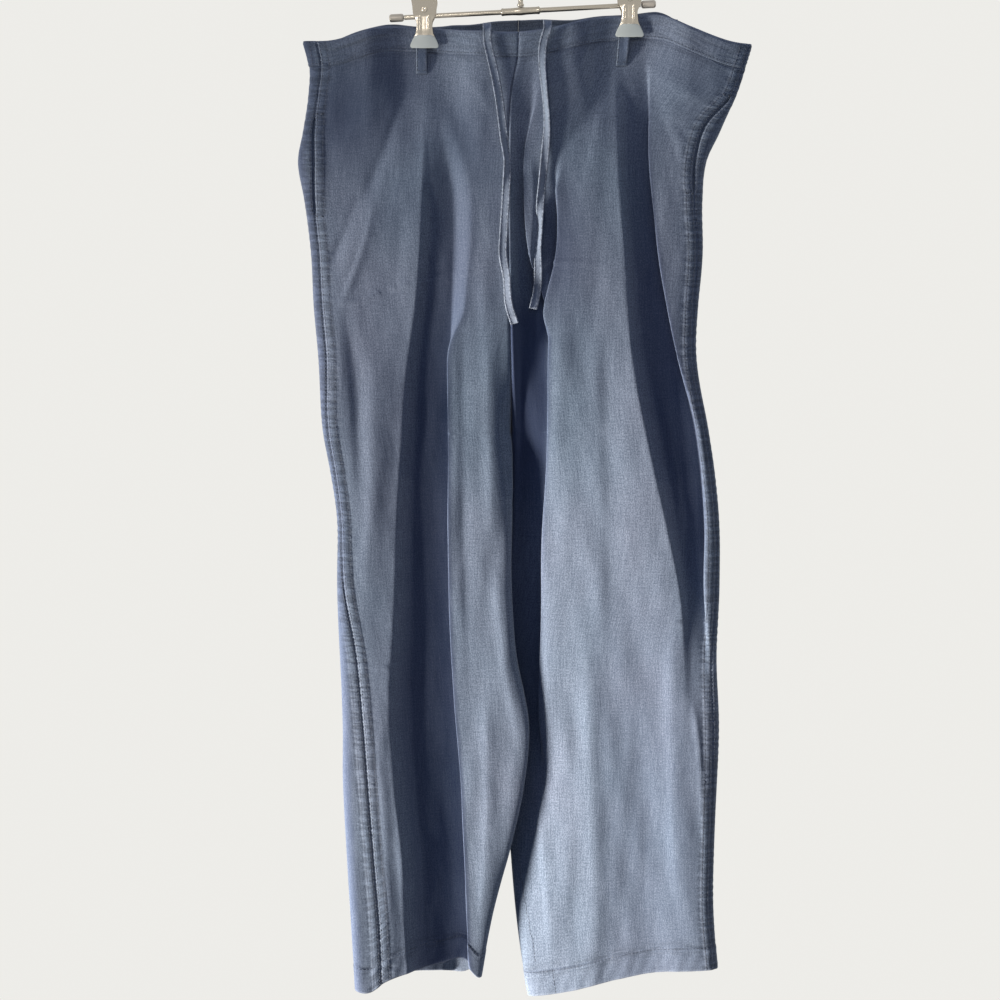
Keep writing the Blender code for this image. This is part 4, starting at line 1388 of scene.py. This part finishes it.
def smooth_points(route, count):
    """Evenly spaced points on a smooth curve through a route's own points."""
    route = np.array(route, float)
    steps = np.linalg.norm(np.diff(route, axis=0), axis=1)
    places = np.concatenate([[0.0], np.cumsum(steps)])
    rows = np.column_stack([places, route])
    return along(rows, np.linspace(0.0, places[-1], count))


def string_route(side):
    """From the eyelet inside the waistband, over its top edge and down the front."""
    x = STRINGS[side][0][0]
    edge = along(WAIST_LINE, x)[0, 0]
    face = surface(side, "front", x, edge + 10.0) + BAND_WALL - BAND_PROUD
    route = [
        (x, face + GAP + 0.8, -HOOK_TO_BAR - edge - 11.0),
        (x, face + 4.0, -HOOK_TO_BAR - edge - 11.0),
        (x, face + 8.0, -HOOK_TO_BAR - edge - 4.0),
        (x, face + 3.5, -HOOK_TO_BAR - edge + STRING_TOP - 3.0),
        (x, face - 3.5, -HOOK_TO_BAR - edge + STRING_TOP - 3.0),
    ]
    for x, drop, stand_off in STRINGS[side]:
        on_band = BAND_PROUD if drop < 50 else 0.0
        leg = "left" if x < -12 else "right"
        depth = surface(leg, "front", x, drop)
        route.append((x, depth - stand_off - on_band, -HOOK_TO_BAR - drop))
    return route


class LINEN_OT_drawstrings(bpy.types.Operator):
    """Make the two free ends of the drawstring, with their edge stitching"""

    bl_idname = "linen.drawstrings"
    bl_label = "Drawstrings"

    def execute(self, context):
        for side in ("left", "right"):
            self.tape(side)
        return {"FINISHED"}

    def tape(self, side):
        settings = cloth_settings()
        path = smooth_points(string_route(side), TAPE_POINTS)
        steps = np.linalg.norm(np.diff(path, axis=0), axis=1)
        distance = np.concatenate([[0.0], np.cumsum(steps)])
        part = distance / distance[-1]
        way = np.gradient(path, distance, axis=0)
        way /= np.linalg.norm(way, axis=1)[:, None]
        level = np.array([1.0, 0.0, 0.0]) - way[:, :1] * way
        level /= np.linalg.norm(level, axis=1)[:, None]
        outward = np.cross(way, level)
        turn = np.radians(along(TAPE_TURNS[side], part)[:, :1])
        wide = level * np.cos(turn) + outward * np.sin(turn)
        high = outward * np.cos(turn) - level * np.sin(turn)
        half = settings.tape_wide / MM / 2
        across = np.linspace(-1.0, 1.0, TAPE_COLUMNS)
        cup = TAPE_CUP * across**2 - 0.25 * np.exp(-(((np.abs(across) - 0.68) / 0.12) ** 2))
        points = (
            path[:, None]
            + wide[:, None] * (across * half)[None, :, None]
            + high[:, None] * cup[None, :, None]
        )
        flat = np.stack(
            np.broadcast_arrays(across[None] * half, distance[:, None]), axis=2
        )
        edge = np.broadcast_to(ease(np.abs(across), 0.3, 0.8), points.shape[:2])
        tip = ease(distance, distance[-1] - TAPE_TIP, distance[-1] - TAPE_TIP + 1.0)
        wear = np.maximum(np.broadcast_to(ease(np.abs(across), 0.8, 1.0), edge.shape),
                          tip[:, None])
        name = f"{side}_tape"
        mesh = grid_mesh(name, points, flat, {"pucker": edge, "wear": wear * 0.9})
        face_outward(mesh, points, np.broadcast_to(high[:, None], points.shape))
        mesh.shade_smooth()
        made = finish_mesh(name, mesh, looks()["tape"])
        thicken(made, settings.tape_thick, offset=0.0)
        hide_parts(f"drawstring_{side}")
        lift = high * settings.tape_thick / MM / 2
        lines = [
            (points[6:, column] + lift[6:], high[6:]) for column in (1, TAPE_COLUMNS - 2)
        ]
        stitches = stitched(f"{side}_tape_stitches", lines, looks()["pale thread"])


class LINEN_OT_panels(bpy.types.Operator):
    """Make the four panels of the legs"""

    bl_idname = "linen.panels"
    bl_label = "Panels"

    def execute(self, context):
        for leg in ("left", "right"):
            for side in ("front", "back"):
                self.panel(leg, side)
        return {"FINISHED"}

    def panel(self, leg, side):
        top = BAND_FOOT - SEAM_ALLOWANCE
        body = np.arange(top, HEM - HEM_HEIGHT - 3.0, ROW_STEP[side])
        hem = np.arange(HEM - HEM_HEIGHT - 1.5, HEM - 0.5, 1.3)
        drops = np.concatenate([body, hem, [HEM]])
        form = functools.partial(relief, leg, side)
        grid = cloth_grid(leg, side, drops, PANEL_COLUMNS[side], form)
        GRIDS[leg, side] = grid
        made = cloth_object(
            f"{leg}_{side}_panel", grid, looks()["linen"],
            cloth_settings().thickness,
        )
        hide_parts(f"{side}_{leg}")


class LINEN_OT_waistband(bpy.types.Operator):
    """Make the four lengths of the waistband's casing"""

    bl_idname = "linen.waistband"
    bl_label = "Waistband"

    def execute(self, context):
        drops = np.append(
            np.arange(BAND_TOP, BAND_FOOT - GAP / 2 - 0.5, BAND_ROW_STEP),
            BAND_FOOT - GAP / 2,
        )
        for leg in ("left", "right"):
            for side in ("front", "back"):
                form = functools.partial(band_relief, side)
                grid = cloth_grid(leg, side, drops, BAND_COLUMNS, form)
                GRIDS[leg, side, "band"] = grid
                made = cloth_object(
                    f"{leg}_{side}_waistband", grid, looks()["linen"],
                    (BAND_WALL - 0.4) * MM,
                )
                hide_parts(f"waistband_{side}_{leg}")
        return {"FINISHED"}


class LINEN_OT_pockets(bpy.types.Operator):
    """Make the facings behind the pocket slits"""

    bl_idname = "linen.pockets"
    bl_label = "Pocket facings"

    def execute(self, context):
        for leg in ("left", "right"):
            self.facing(leg)
        return {"FINISHED"}

    def facing(self, leg):
        inward = -(WALL + 2 * GAP)
        points, outward = [], []
        pair = [GRIDS[leg, side] for side in ("back", "front")]
        top, bottom = POCKETS[leg]
        drops = np.arange(top - FACING_PAST, bottom + FACING_PAST, FACING_STEP)
        for drop in drops:
            row = []
            for grid, columns in zip(pair, FACING_COLUMNS):
                near = int(np.argmin(np.abs(grid["flat"][:, 0, 1] - drop)))
                for column in columns:
                    place = grid["points"][near, column]
                    row.append(place + grid["outward"][near, column] * inward)
                    outward.append(grid["outward"][near, column])
            points.append(row)
        points = np.array(points)
        outward = np.array(outward).reshape(points.shape)
        flat = np.stack(
            np.broadcast_arrays(
                np.arange(points.shape[1])[None] * FACING_CHART, drops[: len(points), None]
            ),
            axis=2,
        )
        shares = {"pucker": np.zeros(points.shape[:2]), "wear": np.zeros(points.shape[:2])}
        name = f"{leg}_facing"
        mesh = grid_mesh(name, points, flat, shares)
        face_outward(mesh, points, outward)
        mesh.shade_smooth()
        made = finish_mesh(name, mesh, looks()["linen"])
        thicken(made, (FACING_WALL - 0.2) * MM)
        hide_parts(f"pocket_facing_{leg}")


class LINEN_OT_belt_loops(bpy.types.Operator):
    """Make the belt loops"""

    bl_idname = "linen.belt_loops"
    bl_label = "Belt loops"

    def execute(self, context):
        for name, places in BELT_LOOPS.items():
            self.loop(name, *places)
        return {"FINISHED"}

    def loop(self, name, leg, side, top_x, top_drop, foot_x, foot_drop):
        facing = FRONT if side == "front" else BACK
        parts = np.linspace(0.0, 1.0, 28)
        across = np.linspace(-1.0, 1.0, 11)
        points = np.zeros((len(parts), len(across), 3))
        twist = LOOP_TWIST.get(name, 0.6)
        for row, part in enumerate(parts):
            drop = top_drop + (foot_drop - top_drop) * part
            middle = top_x + (foot_x - top_x) * part
            stand = along(LOOP_STAND_OFF, part)[0, 0]
            lean = twist * math.sin(math.pi * part) ** 2
            for column, place in enumerate(across):
                x = middle + place * LOOP_WIDTH / 2
                depth = surface(leg, side, x, drop)
                crown = 0.35 * (1.0 - place**2) + lean * max(place, 0.0)
                points[row, column] = (
                    x, depth + facing * (stand + 0.7 + crown), -HOOK_TO_BAR - drop
                )
        flat = np.stack(
            np.broadcast_arrays(
                across[None] * LOOP_WIDTH / 2, parts[:, None] * (foot_drop - top_drop)
            ),
            axis=2,
        )
        edge = np.broadcast_to(ease(np.abs(across), 0.7, 1.0), points.shape[:2])
        outward = np.broadcast_to(np.array([0.0, facing, 0.0]), points.shape)
        # The loops take painted shade away from their pale edges.
        shares = {"pucker": edge, "wear": edge, "recess": LOOP_SHADE * (1.0 - edge)}
        mesh = grid_mesh(name + "_strip", points, flat, shares)
        face_outward(mesh, points, outward)
        mesh.shade_smooth()
        made = finish_mesh(name + "_strip", mesh, looks()["linen"])
        thicken(made, 1.2 * MM)
        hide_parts(name)
        lines = [(points[1:-1, column], outward[1:-1, column]) for column in (1, 9)]
        lines.append((points[-3, 1:-1], outward[-3, 1:-1]))
        threads = stitched(name + "_stitches", lines, looks()["thread"])


class LINEN_OT_stitching(bpy.types.Operator):
    """Sew the seams, the waistband and the hems"""

    bl_idname = "linen.stitching"
    bl_label = "Stitching"

    def execute(self, context):
        for leg in ("left", "right"):
            for side in ("front", "back"):
                self.panel_rows(leg, side)
                self.band_rows(leg, side)
            self.bartacks(leg)
        self.seam_lines()
        return {"FINISHED"}

    def panel_rows(self, leg, side):
        grid = GRIDS[leg, side]
        columns = [SEAM_COLUMNS.index(place) for place in STITCH_ROWS]
        if side == "back":
            columns = columns[:1]
        lines = [(grid["points"][:, column], grid["outward"][:, column]) for column in columns]
        hem = int(np.argmin(np.abs(grid["flat"][:, 0, 1] - HEM_STITCH)))
        lines.append((grid["points"][hem], grid["outward"][hem]))
        stitched(f"{leg}_{side}_stitches", lines, looks()["thread"])

    def band_rows(self, leg, side):
        grid = GRIDS[leg, side, "band"]
        foot = int(np.argmin(np.abs(grid["flat"][:, 0, 1] - BAND_FOOT + 3.0)))
        lines = [(grid["points"][foot], grid["outward"][foot])]
        for place in STITCH_ROWS:
            column = SEAM_COLUMNS.index(place)
            lines.append((grid["points"][:, column], grid["outward"][:, column]))
        stitched(f"{leg}_{side}_waistband_stitches", lines, looks()["thread"])

    def bartacks(self, leg):
        """Short dense bars across both ends of a pocket's slit."""
        grid = GRIDS[leg, "front"]
        lines = []
        for drop in POCKETS[leg]:
            near = int(np.argmin(np.abs(grid["flat"][:, 0, 1] - drop)))
            for step in (-0.5, 0.0, 0.5):
                shift = np.array([0.0, 0.0, step])
                bar = grid["points"][near, :10] + shift
                lines.append((bar, grid["outward"][near, :10]))
        stitched(f"{leg}_bartacks", lines, looks()["thread"])

    def seam_lines(self):
        grid = GRIDS["right", "front"]
        lines = [line_on(grid, INSEAM_LINE), line_on(grid, HEM_SEAM_LINE)]
        stitched("right_inseam_stitches", lines, looks()["thread"])


def bar_height(x):
    """Height of the bar's middle line, which is not quite level."""
    slope = BAR_RISE / (BAR_ENDS[1] - BAR_ENDS[0])
    return -HOOK_TO_BAR + slope * x


def on_bar(x):
    return (x, 0.0, bar_height(x))


BAR_WAY = (1.0, 0.0, BAR_RISE / (BAR_ENDS[1] - BAR_ENDS[0]))


class LINEN_OT_hanger(bpy.types.Operator):
    """Make the bar with its caps, the sleeve, the swivel and the hook"""

    bl_idname = "linen.hanger"
    bl_label = "Hanger"

    def execute(self, context):
        steel, caps = looks()["steel"], looks()["caps"]
        left, right = BAR_ENDS
        inset = CAP_LONG + GAP
        long = right - left - 2 * inset
        bar = lathe("bar", round_ends(BAR_THICK / 2, long, 0.4), on_bar(left + inset),
                    BAR_WAY, steel)
        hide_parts("hanger_bar")
        profile = round_ends(CAP_THICK / 2, CAP_LONG, 2.4)
        for name, start in (("left", left), ("right", right - CAP_LONG)):
            cap = lathe(f"{name}_cap", profile, on_bar(start), BAR_WAY, caps)
            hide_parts(f"hanger_cap_{name}")
        sleeve = lathe("sleeve", self.sleeve_profile(), on_bar(-SLEEVE_LONG / 2),
                       BAR_WAY, steel, closed=True)
        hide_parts("hanger_sleeve")
        foot = -HOOK_TO_BAR + SLEEVE_THICK / 2 + 2 * GAP
        swivel = lathe("swivel", self.swivel_profile(), (0.0, 0.0, foot),
                       (0.0, 0.0, 1.0), steel)
        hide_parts("hanger_swivel")
        self.hook(foot + SWIVEL_HIGH + GAP)
        return {"FINISHED"}

    def sleeve_profile(self):
        """A tube with rolled ends and a waist-high bulge where the swivel stands."""
        bore = BAR_THICK / 2 + GAP
        outer = []
        for part in np.linspace(0.0, 1.0, 41):
            far = part * SLEEVE_LONG
            rim = min(far, SLEEVE_LONG - far)
            swell = 0.5 * math.exp(-(((far - SLEEVE_LONG / 2) / 5.0) ** 2))
            roll = 0.35 * math.exp(-(((rim - 1.6) / 0.9) ** 2))
            round_off = 0.8 * (1.0 - float(ease(rim, 0.0, 0.9)))
            outer.append((SLEEVE_THICK / 2 - 0.4 + swell + roll - round_off, far))
        return [(bore, 0.0), *outer, (bore, SLEEVE_LONG)]

    def swivel_profile(self):
        """A small turned post with a collar and a domed shoulder."""
        radius = SWIVEL_THICK / 2
        return [
            (0.0, 0.0), (radius - 0.6, 0.0), (radius, 0.6), (radius, 2.2),
            (radius - 0.8, 3.0), (radius - 1.1, 6.4), (radius - 0.4, 7.2),
            (radius - 0.4, 8.6), (radius - 0.9, 9.8), (radius - 1.8, 10.6),
            (0.0, SWIVEL_HIGH),
        ]

    def hook(self, foot):
        centre = HOOK_WIRE / 2 - HOOK_RADIUS
        route = [(0.0, 0.0, foot), (0.0, 0.0, foot + 8.0), (1.5, 0.0, foot + 16.0)]
        for degrees in range(-int(HOOK_STEM_TURN), 211, 20):
            turn = math.radians(degrees)
            x, z = HOOK_RADIUS * math.cos(turn), HOOK_RADIUS * math.sin(turn)
            route.append((x, 0.0, centre + z))
        curve = bpy.data.curves.new("hook", "CURVE")
        curve.dimensions = "3D"
        curve.bevel_depth = HOOK_WIRE / 2 * MM
        curve.bevel_resolution = 6
        curve.use_fill_caps = True
        points = smooth_points(route, 96)
        spline = curve.splines.new("POLY")
        spline.points.add(len(points) - 1)
        for place, point in zip(points, spline.points):
            point.co = (*(place * MM), 1.0)
        made = finish_mesh("hook", curve, looks()["steel"])
        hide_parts("hanger_hook")


class LINEN_OT_clips(bpy.types.Operator):
    """Make the two clips with their ribbed levers and moulded pads"""

    bl_idname = "linen.clips"
    bl_label = "Clips"

    def execute(self, context):
        for name in ("left", "right"):
            self.clip(name)
        return {"FINISHED"}

    def clip(self, name):
        place = CLIP_PLACES[name]
        bore = BAR_THICK / 2 + GAP
        profile = round_ends(BARREL_THICK / 2, BARREL_LONG, 1.2, bore=bore)
        barrel = lathe(f"{name}_clip_barrel", profile, on_bar(place - BARREL_LONG / 2),
                       BAR_WAY, looks()["steel"], closed=True)
        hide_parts(f"clip_{name}_barrel")
        for side in ("front", "back"):
            facing = FRONT if side == "front" else BACK
            lever = self.plate(
                f"{name}_clip_{side}_lever", place, side, facing, JAW[0][0] + 3.0,
                JAW[-1][0], 0.0, 1.3, looks()["steel"],
            )
            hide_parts(f"clip_{name}_{side}_jaw")
            self.plate(
                f"{name}_clip_{side}_pad", place, side, facing, JAW[0][0], PAD_TOP,
                PAD_PROUD, 1.5, looks()["pads"],
            )
            self.rivet(f"{name}_clip_{side}_rivet", place, side, facing)

    def plate(self, name, place, side, facing, foot, top, proud, thick, look):
        """A bent plate between two heights, with rounded corners and two ribs."""
        heights = np.linspace(foot, top, 56)
        across = np.linspace(-1.0, 1.0, 29)
        middle = bar_height(place)
        points = np.zeros((len(heights), len(across), 3))
        for row, height in enumerate(heights):
            sizes = read(JAW_COLUMNS, JAW, height)
            rim = min(height - foot, top - height)
            cut = CORNER - math.sqrt(max(CORNER**2 - max(CORNER - rim, 0.0) ** 2, 0.0))
            half = sizes["width"] / 2 - cut
            x = across * half
            ribs = RIB_HIGH * np.exp(-(((np.abs(x) - RIB_PLACE) / RIB_WIDE) ** 2))
            ribs *= float(ease(height, PAD_TOP, PAD_TOP + 3.0))
            ribs *= 1.0 - float(ease(height, -3.0, 1.0))
            crown = 0.5 * (1.0 - across**2) + ribs
            y = facing * (sizes[side] + thick + proud - 0.5 + crown)
            points[row] = np.column_stack([place + x, y, np.full_like(x, middle + height)])
        flat = points[:, :, [0, 2]]
        mesh = grid_mesh(name, points, flat)
        outward = np.broadcast_to(np.array([0.0, facing, 0.0]), points.shape)
        face_outward(mesh, points, outward)
        mesh.shade_smooth()
        made = finish_mesh(name, mesh, look)
        thicken(made, thick * MM)
        bevel = made.modifiers.new("soft edges", "BEVEL")
        bevel.affect = "EDGES"
        bevel.width = 0.3 * MM
        bevel.segments = 2
        bevel.profile = 0.5
        bevel.material = -1
        bevel.limit_method = "ANGLE"
        bevel.angle_limit = math.radians(50.0)
        return made

    def rivet(self, name, place, side, facing):
        """The domed end of the pin that the spring turns on."""
        depth = read(JAW_COLUMNS, JAW, RIVET_HEIGHT)[side] + RIVET_SUNK
        start = (place, facing * depth, bar_height(place) + RIVET_HEIGHT)
        lathe(name, RIVET, start, (0.0, facing, 0.0), looks()["steel"])


OPERATORS = (
    LINEN_OT_studio, LINEN_OT_drawstrings, LINEN_OT_panels, LINEN_OT_waistband,
    LINEN_OT_pockets, LINEN_OT_belt_loops, LINEN_OT_stitching, LINEN_OT_hanger,
    LINEN_OT_clips,
)


class LINEN_PT_panel(bpy.types.Panel):
    """Lists the steps that build the trousers"""

    bl_label = "Linen trousers"
    bl_idname = "LINEN_PT_panel"
    bl_space_type = "VIEW_3D"
    bl_region_type = "UI"
    bl_category = "Linen trousers"

    def draw(self, context):
        for operator in OPERATORS:
            self.layout.operator(operator.bl_idname)


SETTINGS = {
    "linen_cloth": ClothSettings,
    "linen_hanger": HangerSettings,
    "linen_studio": StudioSettings,
}


def register():
    for group in SETTINGS.values():
        bpy.utils.register_class(group)
    for name, group in SETTINGS.items():
        setattr(bpy.types.Scene, name, PointerProperty(type=group))
    for part in (*OPERATORS, LINEN_PT_panel):
        bpy.utils.register_class(part)


def unregister():
    for part in (LINEN_PT_panel, *reversed(OPERATORS)):
        bpy.utils.unregister_class(part)
    for name in SETTINGS:
        delattr(bpy.types.Scene, name)
    for group in reversed(list(SETTINGS.values())):
        bpy.utils.unregister_class(group)


def main():
    register()
    for operator in OPERATORS:
        group, name = operator.bl_idname.split(".")
        getattr(getattr(bpy.ops, group), name)()


if __name__ == "__main__":
    main()
